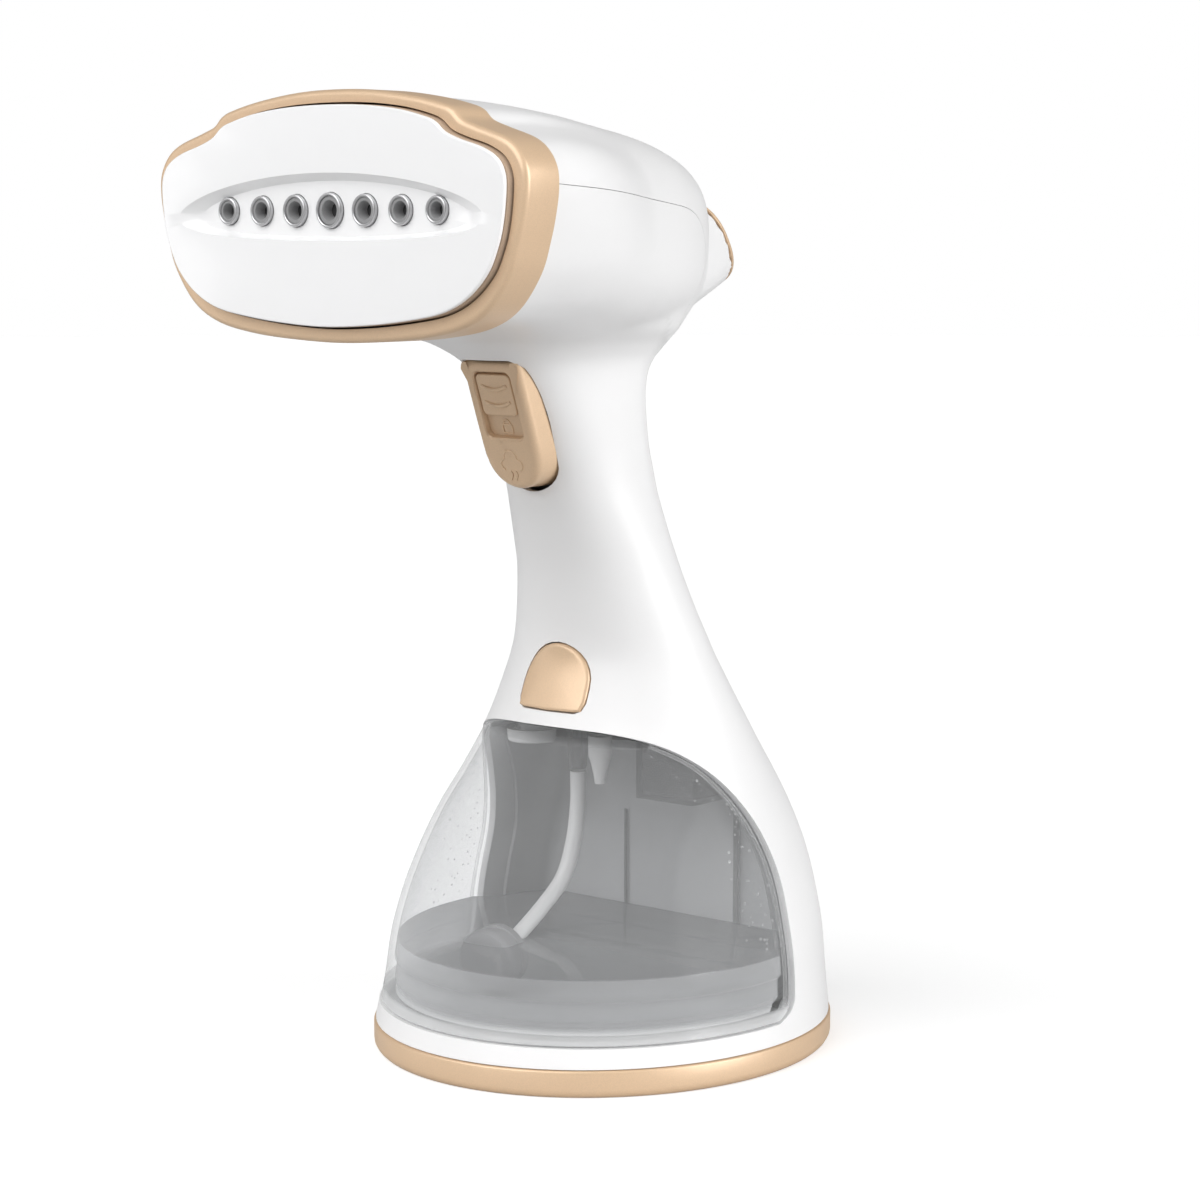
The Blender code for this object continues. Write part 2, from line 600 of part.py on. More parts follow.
def make_tank(mats):
    outer = [tank_ring(z, TANK_PLAY) for z in TANK_LEVELS]
    tank = loft("tank_form", outer, cutter=True)
    hollow_levels = [TANK_LEVELS[0] + TANK_WALL] + list(TANK_LEVELS[1:-3])
    hollow = loft("tank_hollow", [tank_ring(z, TANK_PLAY + TANK_WALL) for z in hollow_levels], cutter=True)
    mouth = rod("tank_mouth", (*PLUG_PLACE, 84), (*PLUG_PLACE, 99), MOUTH_RADIUS, cutter=True)
    port = rod("tank_port", (*PORT_PLACE, 74), (*PORT_PLACE, 99), PORT_RADIUS, cutter=True)
    tank = cut(tank, hollow, mouth, port)
    lower = box("below_lid", (-80, -90, 0), (80, 90, LID_JOINT), cutter=True)
    upper = box("above_joint", (-80, -90, LID_JOINT + GAP), (80, 90, 120), cutter=True)
    paint(cut(copy_of(tank, "water_tank"), lower, how="INTERSECT"), mats["clear_plastic"])
    paint(cut(copy_of(tank, "tank_lid"), upper, how="INTERSECT"), mats["clear_plastic"])


def make_tank_fittings(mats):
    x, y = PLUG_PLACE
    plug = rod("fill_plug", (x, y, 92.8), (x, y, 94.2), 5.4, sides=20)
    tab = box("fill_plug_tab", (x, y - 3, 93.3), (x + 9.5, y + 3, 94.3), cutter=True)
    paint(cut(plug, tab, how="UNION"), mats["silicone"])
    paint(turned("hose_connector", ((1.4, 78), (1.4, 92.6), (3.2, 92.6), (3.2, 78)),
                 Matrix.Translation((PORT_PLACE[0] * MM, PORT_PLACE[1] * MM, 0)), 16), mats["clear_plastic"])
    paint(tube("pickup_hose", HOSE_ROUTE, HOSE_RADIUS), mats["silicone"])
    head = rod("inlet_filter", FILTER_START, FILTER_END, 8.9, 9.3, sides=24)
    paint(softened(head, 1.2), mats["grey_plastic"])
    paint(rod("vent_valve", (4, -6.4, 76), (4, -6.4, 90.2), 1.6, 3.4, sides=16), mats["silicone"])


def make_tank_bay(mats):
    """The inner wall that closes the bell behind the tank."""
    rings = []
    for z in BAY_LEVELS:
        outer = rear_rows(z, 3.0, 1.2, lead=7.0)
        inner = rear_rows(z, 4.2, 2.2, lead=7.0)
        ring = outer + [(-x, y) for x, y in reversed(outer)] + [(-x, y) for x, y in inner] + inner[::-1]
        rings.append([(x, y, z) for x, y in ring])
    paint(loft("tank_bay_wall", rings), mats["grey_plastic"])


# ---- release button and latch ----------------------------------------------------------------
def make_release(mats):
    proud = loft("button_form", [body_ring(z, -0.7) for z in (90, 92, 98, 104, 110, 116, 122, 126)], cutter=True)
    button = outline_plate("release_button", [arch(12.0, 99.4, 118.0)], -34, -17.5, "Y")
    button = cut(button, proud, how="INTERSECT")
    hollow = outline_plate("button_hollow", [arch(9.6, 101.8, 115.6)], -19.6, -10, "Y", cutter=True)
    paint(cut(button, hollow), mats["gold_plastic"])
    y, z = LATCH_PIVOT
    latch = box("tank_latch", (-4, -14.8, 96), (4, -12.6, 110))
    tongue = box("latch_tongue", (-4, -16.4, 93.4), (4, -14.0, 96.4), cutter=True)
    arm = box("latch_arm", (-3.2, -14.0, z - 2), (3.2, y + 2, z + 2), cutter=True)
    bore = rod("latch_bore", (-8, y, z), (8, y, z), 1.3, sides=12, cutter=True)
    paint(cut(cut(latch, tongue, arm, how="UNION"), bore), mats["grey_plastic"])
    bracket = box("latch_bracket", (-BRACKET_HALF, -6.4, 96), (BRACKET_HALF, -4.9, 112))
    ears = [box(f"latch_ear_{k}", (low, y - 2.2, 96.4), (low + EAR, -5.6, 102.6), cutter=True)
            for k, low in enumerate((-BRACKET_HALF, BRACKET_HALF - EAR))]
    seat = rod("latch_pin_seat", (-8, y, z), (8, y, z), 1.3, sides=12, cutter=True)
    paint(cut(cut(bracket, *ears, how="UNION"), seat), mats["white_plastic"])
    paint(rod("latch_pin", (-BRACKET_HALF, y, z), (BRACKET_HALF, y, z), 1.0, sides=12), mats["steel"])
    paint(turned("release_spring", coil_stack(2.4, 0.35, 4, 1.3), spring_place((0, -12.3, 107), (0, -6.7, 107)), 10),
          mats["steel"])


def coil_stack(radius, wire, turns, pitch):
    """Profile of a closed bellows that stands for a coil spring's turns."""
    outer, inner = [], []
    for k in range(turns + 1):
        z = k * pitch
        outer += [(radius + wire, z), (radius + wire * 0.2, z + pitch / 2)] if k < turns else [(radius + wire, z)]
        inner += [(radius - wire, z), (radius - wire * 1.2, z + pitch / 2)] if k < turns else [(radius - wire, z)]
    return inner[::-1] + outer


def spring_place(start, end):
    a, b = Vector(start) * MM, Vector(end) * MM
    turn = Vector((0, 0, 1)).rotation_difference(b - a).to_matrix().to_4x4()
    return Matrix.Translation(a) @ turn


# ---- trigger -----------------------------------------------------------------------------------
def on_trigger(up, inward):
    """A point up along the trigger's leaning face, and inward from it."""
    x, y, z = LOCK_CENTRE
    c, s = math.cos(TRIGGER_TILT), math.sin(TRIGGER_TILT)
    return (x, y - up * s + inward * c, z + up * c + inward * s)


def make_trigger(mats):
    side = outline_plate("trigger_side", [TRIGGER_SIDE], -12, 12, "X", cutter=True)
    trigger = outline_plate("steam_trigger", [trigger_outline()], -60, -20, "Y")
    trigger = cut(trigger, side, how="INTERSECT")
    recess = leaning_box("lock_recess", on_trigger(0, 0.9), (13.6, 4.6, 19.6), TRIGGER_TILT, cutter=True)
    x, y, z = TRIGGER_PIVOT
    pin_hole = rod("pin_hole", (-20, y, z), (20, y, z), PIN_BORE, sides=12, cutter=True)
    paint(cut(trigger, recess, pin_hole), mats["gold_plastic"])
    lock = leaning_box("lock_slider", on_trigger(3.0, 1.6), (12.8, 2.6, 12.6), TRIGGER_TILT)
    ridges = [leaning_box(f"lock_ridge_{k}", on_trigger(3.0 + up, 0.1), (9.6, 1.2, 1.3), TRIGGER_TILT, cutter=True)
              for k, up in enumerate((-2.6, 2.6))]
    paint(cut(lock, *ridges, how="UNION"), mats["gold_plastic"])
    paint(rod("trigger_pin", (-12.6, y, z), (12.6, y, z), PIN_RADIUS, sides=12), mats["steel"])
    paint(turned("trigger_spring", coil_stack(2.2, 0.3, 3, 0.72), spring_place((0, -27.1, 168), (0, -24.7, 168)), 10),
          mats["steel"])
    paint(box("spring_post", (-5, -24.3, 164.5), (5, -22.8, 173)), mats["white_plastic"])
    switch = box("steam_switch", (-5, -31.0, 176), (5, -23.4, 189))
    bore = rod("plunger_bore", (0, -40, 180.5), (0, -26.5, 180.5), 1.6, sides=12, cutter=True)
    paint(cut(switch, bore), mats["black_plastic"])
    paint(rod("switch_plunger", (0, -33.4, 180.5), (0, -28.6, 180.5), 1.2, sides=12), mats["black_plastic"])


# ---- steam head ---------------------------------------------------------------------------------
def make_bezel(mats):
    panel = mirrored(PANEL_HALF)
    outer = outline_plate("bezel_ring", [mirrored(BEZEL_HALF), inset(panel, -0.45)], BEZEL_FRONT, BEZEL_BACK)
    paint(softened(outer, 1.0), mats["gold_plastic"])
    paint(outline_plate("insulating_ring", [inset(panel, -0.1), inset(panel, 7.0)], INSULATOR_FRONT, -99.0),
          mats["insulator"])


def lens(half_length, top, bottom, steps=10):
    """A slim outline between two shallow arcs, pointed at its ends."""
    z = NOZZLE_Z - 1.0
    upper = [(half_length * math.cos(math.pi * k / steps), z + top * math.sin(math.pi * k / steps) ** 1.3)
             for k in range(steps + 1)]
    lower = [(-half_length * math.cos(math.pi * k / steps), z - bottom * math.sin(math.pi * k / steps) ** 0.6)
             for k in range(1, steps)]
    return upper + lower


def nozzle_places():
    return [((k - 3) * NOZZLE_PITCH, NOZZLE_RADII[abs(k - 3)]) for k in range(7)]


def make_panel(mats):
    outline = mirrored(PANEL_HALF)
    panel = outline_plate("steam_panel", [inset(outline, 0.2)], PANEL_FRONT, INSULATOR_FRONT - GAP)
    panel = softened(panel, 0.35)
    core = outline_plate("panel_core", [inset(outline, 7.4)], INSULATOR_FRONT - 0.6, PANEL_BACK, cutter=True)
    panel = cut(panel, core, how="UNION")
    recess = outline_plate("recess_tool", [lens(52.0, 9.6, 6.4)], PANEL_FRONT - 2, PANEL_FRONT + RECESS_DEPTH,
                           cutter=True)
    holes = [rod(f"nozzle_hole_{k}", (x, -120, NOZZLE_Z), (x, -100, NOZZLE_Z), r + GAP, sides=14, cutter=True)
             for k, (x, r) in enumerate(nozzle_places())]
    paint(cut(panel, recess, *holes), mats["panel"])
    for k, (x, r) in enumerate(nozzle_places()):
        place = Matrix.Translation((x * MM, 0, NOZZLE_Z * MM)) @ Matrix.Rotation(math.pi / 2, 4, "X")
        front, back = -PANEL_FRONT - 1.3, -PANEL_BACK + 0.1
        profile = ((r * 0.44, back), (r, back), (r, front - 0.3), (r - 0.3, front), (r * 0.74, front),
                   (r * 0.66, front - 1.6), (r * 0.44, front - 1.9))
        paint(turned(f"nozzle_{k + 1}", profile, place, 14), mats["chrome"])


def make_steam_chamber(mats):
    block = outline_plate("heater_block", [inset(mirrored(PANEL_HALF), 8.0)], PANEL_BACK + GAP, -90.0)
    groove = [rod(f"steam_way_{k}", (x, -110, NOZZLE_Z), (x, -96, NOZZLE_Z), 1.6, sides=12, cutter=True)
              for k, (x, r) in enumerate(nozzle_places())]
    paint(cut(block, *groove), mats["aluminium"])
    bend = [(-34 + 6 * math.cos(a) - 6, -86.0, 238 + 14 * math.sin(a))
            for a in [math.radians(90 + 45 * k) for k in range(5)]]
    paint(tube("heating_element", [(20, -86.0, 252), (-20, -86.0, 252)] + bend[1:4]
               + [(-20, -86.0, 224), (20, -86.0, 224)], 3.4), mats["steel"])
    paint(rod("thermostat", (30, -89.6, 238), (30, -80, 238), 8.0, sides=24), mats["chrome"])
    paint(rod("thermal_fuse", (2, -87.0, 238), (18, -87.0, 238), 2.2, sides=12), mats["copper"])
    paint(rod("steam_inlet", (0, -89.6, 212.5), (0, -84, 212.5), 3.0, sides=16), mats["steel"])


# ---- pump, pipes and electrics --------------------------------------------------------------------
def make_pump(mats):
    body = rod("pump_body", *PUMP_ENDS, 11.0, sides=24)
    paint(softened(body, 1.0), mats["black_plastic"])
    winding = ((11.5, 0), (14.0, 0), (14.0, 16), (11.5, 16))
    paint(turned("pump_coil", winding, spring_place((0, -2.2, 124), (0, -4.6, 140)), 24), mats["copper"])
    paint(tube("suction_pipe", ((-9.9, 0, 93.2), (-9.9, 0, 98), (-6, 1, 106), (0, 0.6, 114.4)), 2.4), mats["silicone"])
    paint(tube("pressure_pipe", ((0, -6.2, 150.6), (0, -8, 160), (0, -8, 180), (0, -12, 196), (0, -34, 208),
                                 (0, -60, 212.5), (0, -83.4, 212.5)), 2.4), mats["silicone"])


def make_rear_controls(mats):
    lean = Matrix.Rotation(HUMP_LEAN, 4, "X")
    face = Vector((0, HUMP[-1][0], HUMP[-1][1]))
    along = lean @ Vector((0, 1, 0))
    back = [face + along * d for d in (-3.6, 0.1)]
    panel = rod("rear_panel", *back, 12.2, sides=28)
    key = leaning_rod("power_key_hole", face, 20, 6.4, cutter=True)
    paint(cut(panel, key), mats["gold_plastic"])
    start, end = face + along * -2.6, face + along * 0.5
    paint(rod("power_button", start, end, 6.0, sides=24), mats["white_plastic"])
    trim_rings = []
    for grow, depth in ((-1.6, 0.3), (0.0, 0.3), (0.0, 1.5), (-1.6, 1.5)):
        ring = hump_ring((0, 0, HUMP[-1][2] + grow, HUMP[-1][3] + grow))
        trim_rings.append([face + along * depth + p for p in ring])
    paint(loft("rear_trim", trim_rings, closed_loop=True), mats["gold_plastic"])
    paint(leaning_box("control_board", face + along * -9.0, (19, 1.6, 15), HUMP_LEAN), mats["board"])
    beside = Vector((9.2, 0, 0))
    paint(rod("status_lamp", face + along * -7.6 + beside, face + along * -4.2 + beside, 1.4, sides=12),
          mats["lamp"])
    paint(rod("power_switch", face + along * -7.8, face + along * -3.6, 2.6, sides=16), mats["black_plastic"])


def make_cord_gland(mats):
    profile = ((GLAND_BORE, 0), (7.2, 0), (7.2, 1.6), (4.9, 2.0), (4.9, 9), (GLAND_BORE, 9))
    _, y, z = GLAND_PLACE
    paint(turned("cord_gland", profile, spring_place(GLAND_PLACE, (0, y - 12, z)), 24), mats["black_plastic"])


# ---- the whole object ------------------------------------------------------------------------------
def build():
    start_scene()
    mats = make_materials()
    make_housing(mats)
    make_base(mats)
    make_tank(mats)
    make_tank_fittings(mats)
    make_tank_bay(mats)
    make_release(mats)
    make_trigger(mats)
    make_bezel(mats)
    make_panel(mats)
    make_steam_chamber(mats)
    make_pump(mats)
    make_rear_controls(mats)
    make_cord_gland(mats)


build()
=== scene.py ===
"""Looks of the handheld garment steamer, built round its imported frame.

Sizes here are millimetres and become metres in the meshes.  +Z is up, the steam head faces -Y
and the object is symmetric about X = 0, apart from what is inside the tank.
"""

import itertools
import json
import math

import bmesh
import bpy
import numpy as np
from mathutils import Matrix, Vector

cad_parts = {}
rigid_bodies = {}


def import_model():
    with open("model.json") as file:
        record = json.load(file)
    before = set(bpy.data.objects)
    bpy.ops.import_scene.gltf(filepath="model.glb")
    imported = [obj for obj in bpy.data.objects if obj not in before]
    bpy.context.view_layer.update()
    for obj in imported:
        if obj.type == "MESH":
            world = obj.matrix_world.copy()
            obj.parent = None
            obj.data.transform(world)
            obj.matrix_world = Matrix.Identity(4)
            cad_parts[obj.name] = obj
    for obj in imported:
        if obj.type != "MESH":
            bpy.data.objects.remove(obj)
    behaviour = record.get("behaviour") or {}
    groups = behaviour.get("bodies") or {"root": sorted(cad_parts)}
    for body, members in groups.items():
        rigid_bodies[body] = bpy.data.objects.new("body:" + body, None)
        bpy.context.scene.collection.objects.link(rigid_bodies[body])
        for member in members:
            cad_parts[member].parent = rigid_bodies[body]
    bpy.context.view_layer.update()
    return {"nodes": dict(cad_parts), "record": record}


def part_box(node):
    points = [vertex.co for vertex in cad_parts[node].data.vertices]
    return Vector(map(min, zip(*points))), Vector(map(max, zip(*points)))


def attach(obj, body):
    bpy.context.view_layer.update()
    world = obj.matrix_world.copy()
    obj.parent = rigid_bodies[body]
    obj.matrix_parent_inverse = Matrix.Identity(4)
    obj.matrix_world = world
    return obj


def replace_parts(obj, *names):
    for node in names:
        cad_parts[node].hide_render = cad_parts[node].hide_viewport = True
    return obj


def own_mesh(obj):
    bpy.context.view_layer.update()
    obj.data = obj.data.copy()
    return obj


for startup in list(bpy.data.objects):
    bpy.data.objects.remove(startup, do_unlink=True)
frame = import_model()
MM = 0.001

# ---- driving dimensions, as in the frame --------------------------------------------------
WALL = 2.4
SEAM = 0.16                # open line between two shells
SKIN_STEP = 1.9            # spacing of the points on the moulded shells
HOUSING_FOOT, FLOOR_TOP = 8.0, 11.5
BEZEL_FRONT, BEZEL_BACK = -108.2, -96.0
HEAD_FRONT = -95.7
HEAD_END = 22.8
HEAD_MID_Z = 238.0
PANEL_FRONT, PLATE_BACK = -111.2, -110.2
INSULATOR_FRONT = -109.9
RECESS_DEPTH = 2.5
NOZZLE_Z = 239.5
TRIGGER_TILT = math.radians(19.6)
LOCK_CENTRE = (0.0, -45.2, 186.5)
HUMP_LEAN = math.radians(31.5)
TANK_WALL = 2.0
TANK_TOP = 92.4
WATER_LEVEL = 31.5
PLUG_PLACE, MOUTH_RADIUS = (-19.6, -9.3), 4.8
PORT_RADIUS = 3.6
HOSE_RADIUS = 2.3

# Bell and handle: height, centre depth, half width, front half depth, back half depth
BODY = (
    (8, 0.0, 64.0, 69.5, 69.5), (20, 1.0, 62.5, 67.5, 67.5), (32, 1.6, 61.2, 66.1, 66.1),
    (44, 2.5, 58.7, 63.4, 63.4), (56, 3.7, 55.2, 59.2, 59.2), (68, 4.7, 51.0, 52.7, 52.7),
    (80, 6.0, 46.0, 43.8, 43.8), (92, 6.3, 41.0, 35.2, 35.2), (104, 5.3, 36.3, 28.6, 28.6),
    (116, 3.6, 31.9, 23.4, 23.4), (128, 0.6, 28.0, 21.8, 21.8), (140, -2.7, 24.7, 21.2, 21.2),
    (152, -6.3, 22.2, 21.3, 21.3), (164, -9.4, 20.0, 21.9, 21.8), (176, -10.9, 19.1, 25.0, 20.6),
    (188, -11.5, 19.0, 30.2, 19.8), (193, -11.3, 19.3, 34.0, 19.9), (198, -11.0, 20.4, 39.0, 20.6),
    (203, -10.5, 23.0, 46.0, 22.0), (208, -10.0, 26.0, 52.0, 23.0), (217, -10.0, 23.0, 54.0, 21.0))
# Head: depth, half width, top height, bottom height
HEAD = (
    (HEAD_FRONT, 64.6, 268.6, 207.4), (-82, 61.6, 268.2, 205.2), (-64, 57.4, 267.0, 203.4),
    (-46, 52.6, 266.0, 202.6), (-28, 47.2, 264.0, 202.8), (-12, 41.8, 261.8, 203.8),
    (0, 36.6, 259.2, 205.4), (8, 31.8, 256.8, 208.0), (14, 26.4, 253.6, 211.5), (18, 20.6, 250.0, 216.0),
    (21, 12.5, 245.0, 222.0), (HEAD_END, 2.0, 240.0, 233.0))
# Rear hump, in planes that lean by HUMP_LEAN: centre depth, centre height, half width, half height
HUMP = (
    (5.0, 224.0, 25.0, 19.5), (20.0, 227.6, 21.6, 17.4), (30.0, 229.8, 18.8, 16.0),
    (34.9, 231.0, 17.4, 15.4))
# Right halves of the bezel's and the panel's outlines, top to bottom
BEZEL_HALF = (
    (0, 270.3), (14, 269.8), (28, 268.0), (38, 265.9), (42, 264.4), (45, 261.9), (50, 260.1), (59, 257.2),
    (63.6, 254.0), (66.2, 249.6), (66.6, 244.5), (65.7, 238.5), (64.0, 232.0), (60.8, 223.6), (53.6, 214.7),
    (44.0, 209.8), (30.0, 207.2), (15.0, 206.0), (0, 205.5))
PANEL_HALF = (
    (0, 266.5), (14, 266.1), (26, 264.8), (35, 262.8), (38.7, 261.4), (42, 258.9), (47, 257.0), (54.3, 254.9),
    (59.4, 252.2), (61.8, 248.6), (62.2, 244.0), (61.2, 236.0), (59.4, 230.0), (56.0, 223.6), (49.4, 217.6),
    (40.5, 213.6), (27.5, 211.4), (13.0, 210.0), (0, 209.5))
# Side view (depth, height) of the tank window's edge and of the top cover's seam
WINDOW_EDGE = (
    (2, 13.4), (8.6, 16.4), (11.0, 22), (11.4, 40), (11.2, 53), (8.3, 64), (3.7, 73), (-2, 80.7),
    (-8.3, 86.7), (-15, 91.3), (-22, 94.2), (-28, 95.4))
COVER_SEAM = (
    (-96, 246.0), (-60, 244.0), (-28, 241.8), (-12, 240.0), (-3.5, 236.0), (1.6, 229.5), (3.0, 222),
    (3.4, 207), (9, 202), (30, 196), (70, 196))
BACK_WEDGE = ((0, 2), (70, 72), (70, 110), (-70, 110), (-70, 72))
BACK_COVER_Z = (13.0, 192.0)
BUTTON_ROOM, BUTTON_GAP = (12.4, 99.0, 118.4), 0.45      # half width, foot and top of its opening
HOSE_ROUTE = ((-9.9, 0, 77.2), (-9.9, 0, 68), (-9.6, -2.2, 57.4), (-10, -6.5, 46.6), (-11, -15.2, 38.6),
              (-12.3, -25.2, 31.2))
FILTER_START, FILTER_END = (-14.8, -26.9, 27.2), (-13.2, -37.7, 26.1)


# ---- shader expressions ---------------------------------------------------------------------
class Num:
    """A shader value that takes part in sums; every sum adds its own Math node."""

    def __init__(self, finish, socket):
        self.finish, self.socket = finish, socket

    def _sum(self, operation, first, second):
        return self.finish.node("ShaderNodeMath", {0: first, 1: second}, operation=operation)

    def __add__(self, other):
        return self._sum("ADD", self, other)

    def __sub__(self, other):
        return self._sum("SUBTRACT", self, other)

    def __rsub__(self, other):
        return self._sum("SUBTRACT", other, self)

    def __mul__(self, other):
        return self._sum("MULTIPLY", self, other)

    def __truediv__(self, other):
        return self._sum("DIVIDE", self, other)

    def __rtruediv__(self, other):
        return self._sum("DIVIDE", other, self)

    def __pow__(self, other):
        return self._sum("POWER", self, other)

    def __gt__(self, other):
        return self._sum("GREATER_THAN", self, other)

    def __lt__(self, other):
        return self._sum("LESS_THAN", self, other)

    __radd__, __rmul__ = __add__, __mul__


class Finish:
    """A node material in the making, with one Principled BSDF."""

    def __init__(self, name, roughness, metallic=0.0, **constants):
        self.material = bpy.data.materials.new(name)
        self.material.use_nodes = True
        self.tree = self.material.node_tree
        self.shader = self.tree.nodes["Principled BSDF"]
        self.feed(self.shader, {"Roughness": roughness, "Metallic": metallic, **constants})
        self.place = self.node("ShaderNodeTexCoord", out="Object").socket

    def feed(self, node, inputs):
        for key, value in inputs.items():
            socket = node.inputs[key]
            if isinstance(value, Num):
                value = value.socket
            if isinstance(value, bpy.types.NodeSocket):
                self.tree.links.new(value, socket)
            else:
                socket.default_value = value

    def node(self, kind, inputs=None, out=0, stops=None, **settings):
        """Adds a node: settings first, then a ramp's stops, then its inputs. Gives one output."""
        made = self.tree.nodes.new(kind)
        for key, value in settings.items():
            setattr(made, key, value)
        for k, (position, colour) in enumerate(stops or ()):
            slots = made.color_ramp.elements
            slot = slots[k] if k < len(slots) else slots.new(position)
            slot.position, slot.color = position, (*colour, 1.0)
        self.feed(made, inputs or {})
        return Num(self, made.outputs[out])

    def noise(self, size, detail=2.0, at=None):
        """Cloudy values from 0 to 1; size is the width of one patch in millimetres."""
        return self.node("ShaderNodeTexNoise", {
            "Vector": at or self.place, "Scale": 1 / (size * MM), "Detail": detail, "Roughness": 0.55})

    def cells(self, size, feature="F1", out="Distance"):
        return self.node("ShaderNodeTexVoronoi", {"Vector": self.place, "Scale": 1 / (size * MM)}, out=out,
                         feature=feature)

    def axis(self, name):
        """One Object coordinate, in millimetres."""
        return self.node("ShaderNodeSeparateXYZ", {0: self.place}, out=name) / MM

    def ramp(self, value, *stops):
        return self.node("ShaderNodeValToRGB", {0: value}, stops=stops)

    def mixed(self, share, first, second):
        """A colour between two colours."""
        colours = [(*c, 1.0) if isinstance(c, tuple) else c for c in (first, second)]
        return self.node("ShaderNodeMix", {0: share, 6: colours[0], 7: colours[1]}, out=2, data_type="RGBA")

    def bump(self, height, depth, strength=1.0):
        """Relief of the given depth in millimetres."""
        return self.node("ShaderNodeBump", {"Height": height, "Distance": depth * MM, "Strength": strength})

    def done(self, **inputs):
        self.feed(self.shader, {key.replace("_", " "): value for key, value in inputs.items()})
        return self.material

    def seen_through(self, share, tint=(1, 1, 1)):
        """Puts the surface over a clear one; share is how much of the surface shows."""
        clear = self.node("ShaderNodeBsdfTransparent", {0: (*tint, 1.0)})
        both = self.node("ShaderNodeMixShader", {0: share, 1: clear, 2: self.shader.outputs[0]})
        self.feed(self.tree.nodes["Material Output"], {0: both})
        return self.material


def shade(colour, factor):
    """The colour, darker or lighter."""
    return tuple(c * factor for c in colour)


def satin_white():
    """Moulded casing: satin, with a fine spark-eroded grain."""
    f = Finish("satin_white", 0.36, **{"Specular IOR Level": 0.42})
    cloud, grain = f.noise(38.0, 3), f.noise(0.45, 3)
    base = (0.86, 0.858, 0.86)
    return f.done(Base_Color=f.mixed(cloud, shade(base, 0.975), base),
                  Roughness=0.33 + cloud * 0.05 + grain * 0.05,
                  Normal=f.bump(grain + f.noise(0.16, 1) * 0.5, 0.012, 0.5))


def champagne_paint(name="champagne_paint", darker=1.0):
    """Warm metallic paint: fine flakes under a satin lacquer."""
    f = Finish(name, 0.38, 0.22, **{"Coat Roughness": 0.3})
    flake = f.cells(0.16, out="Color")
    spark = f.node("ShaderNodeSeparateColor", {0: flake}, out="Red")
    cloud = f.noise(26.0, 2)
    base = shade((0.74, 0.53, 0.345), darker)
    tone = f.mixed(spark, shade(base, 0.93), shade(base, 1.05))
    return f.done(Base_Color=f.mixed(cloud * 0.35, tone, shade(base, 0.95)), Metallic=0.16 + spark * 0.14,
                  Roughness=0.34 + spark * 0.07 + cloud * 0.04, Coat_Weight=0.18 + cloud * 0.1,
                  Normal=f.bump(spark * 0.4 + f.noise(0.3, 2), 0.008, 0.45))


def gloss_white():
    """The sole plate: dense white, glossier than the casing, with faint flow marks."""
    f = Finish("gloss_white", 0.2, **{"Coat Roughness": 0.08})
    flow, peel = f.noise(17.0, 3), f.noise(1.3, 2)
    base = (0.93, 0.93, 0.935)
    return f.done(Base_Color=f.mixed(flow, base, shade(base, 0.985)),
                  Roughness=0.19 + flow * 0.06 + peel * 0.03,
                  Coat_Weight=0.25 + flow * 0.1, Normal=f.bump(peel, 0.006, 0.5))


def tan_resin():
    """Heat-proof resin behind the plate: matt, with mineral specks."""
    f = Finish("tan_resin", 0.6)
    speck, cloud = f.cells(0.5) < 0.16, f.noise(5.0, 4)
    base = (0.50, 0.365, 0.26)
    tone = f.mixed(cloud, shade(base, 0.85), shade(base, 1.08))
    return f.done(Base_Color=f.mixed(speck * 0.4, tone, (0.74, 0.6, 0.46)), Roughness=0.52 + cloud * 0.16,
                  Normal=f.bump(cloud + speck * 0.3, 0.03, 0.5))


def turned_metal(name, colour, roughness, pitch=0.3, relief=0.004):
    """Machined metal with tool marks across its height and a little tarnish."""
    f = Finish(name, roughness, 1.0)
    marks = f.node("ShaderNodeTexNoise", {
        "Vector": f.node("ShaderNodeMapping", {"Vector": f.place, "Scale": (120.0, 120.0, 1000.0 / pitch)}),
        "Scale": 1.0, "Detail": 3.0})
    cloud = f.noise(3.0, 3)
    return f.done(Base_Color=f.mixed(cloud, shade(colour, 0.82), colour),
                  Roughness=roughness * 0.7 + marks * 0.14 + cloud * 0.1,
                  Normal=f.bump(marks, relief, 0.5))


def moulded(name, base, roughness, grain=0.5, variation=0.1, relief=0.02):
    """Plain engineering plastic or rubber with a moulded grain and soft blotches."""
    f = Finish(name, roughness)
    cloud, fine, mark = f.noise(9.0, 4), f.noise(grain, 3), f.cells(grain * 2.2)
    return f.done(Base_Color=f.mixed(cloud, shade(base, 1 - variation), shade(base, 1 + variation * 0.5)),
                  Roughness=roughness - 0.06 + cloud * 0.08 + fine * 0.06,
                  Normal=f.bump(fine + mark * 0.4, relief, 0.55))


def cast_aluminium():
    """Die-cast heater block: coarse skin, dull grey, with darker heat staining."""
    f = Finish("cast_aluminium", 0.48, 1.0)
    skin, stain = f.cells(0.9), f.noise(14.0, 5)
    return f.done(Base_Color=f.ramp(stain, (0.3, (0.34, 0.33, 0.32)), (0.7, (0.63, 0.64, 0.65))),
                  Roughness=0.4 + stain * 0.2 + skin * 0.08, Normal=f.bump(skin + f.noise(0.3, 2), 0.06, 0.7))


def copper_winding():
    """Enamelled wire, wound in even turns; its colour runs dark between the turns and bright on them: painted
    shade and highlight.
    """
    f = Finish("copper_winding", 0.3, 1.0)
    turn = f.node("ShaderNodeTexWave", {"Vector": f.place, "Scale": 380.0, "Distortion": 0.25},
                  bands_direction="Z", wave_profile="SIN", out="Fac")
    cloud = f.noise(2.5, 2)
    # painted shade between the turns and painted highlight on them
    tone = f.ramp(turn * 0.8 + cloud * 0.2, (0.1, (0.24, 0.09, 0.035)), (0.8, (0.75, 0.34, 0.16)))
    return f.done(Base_Color=tone, Roughness=0.26 + turn * 0.12, Normal=f.bump(turn, 0.16))


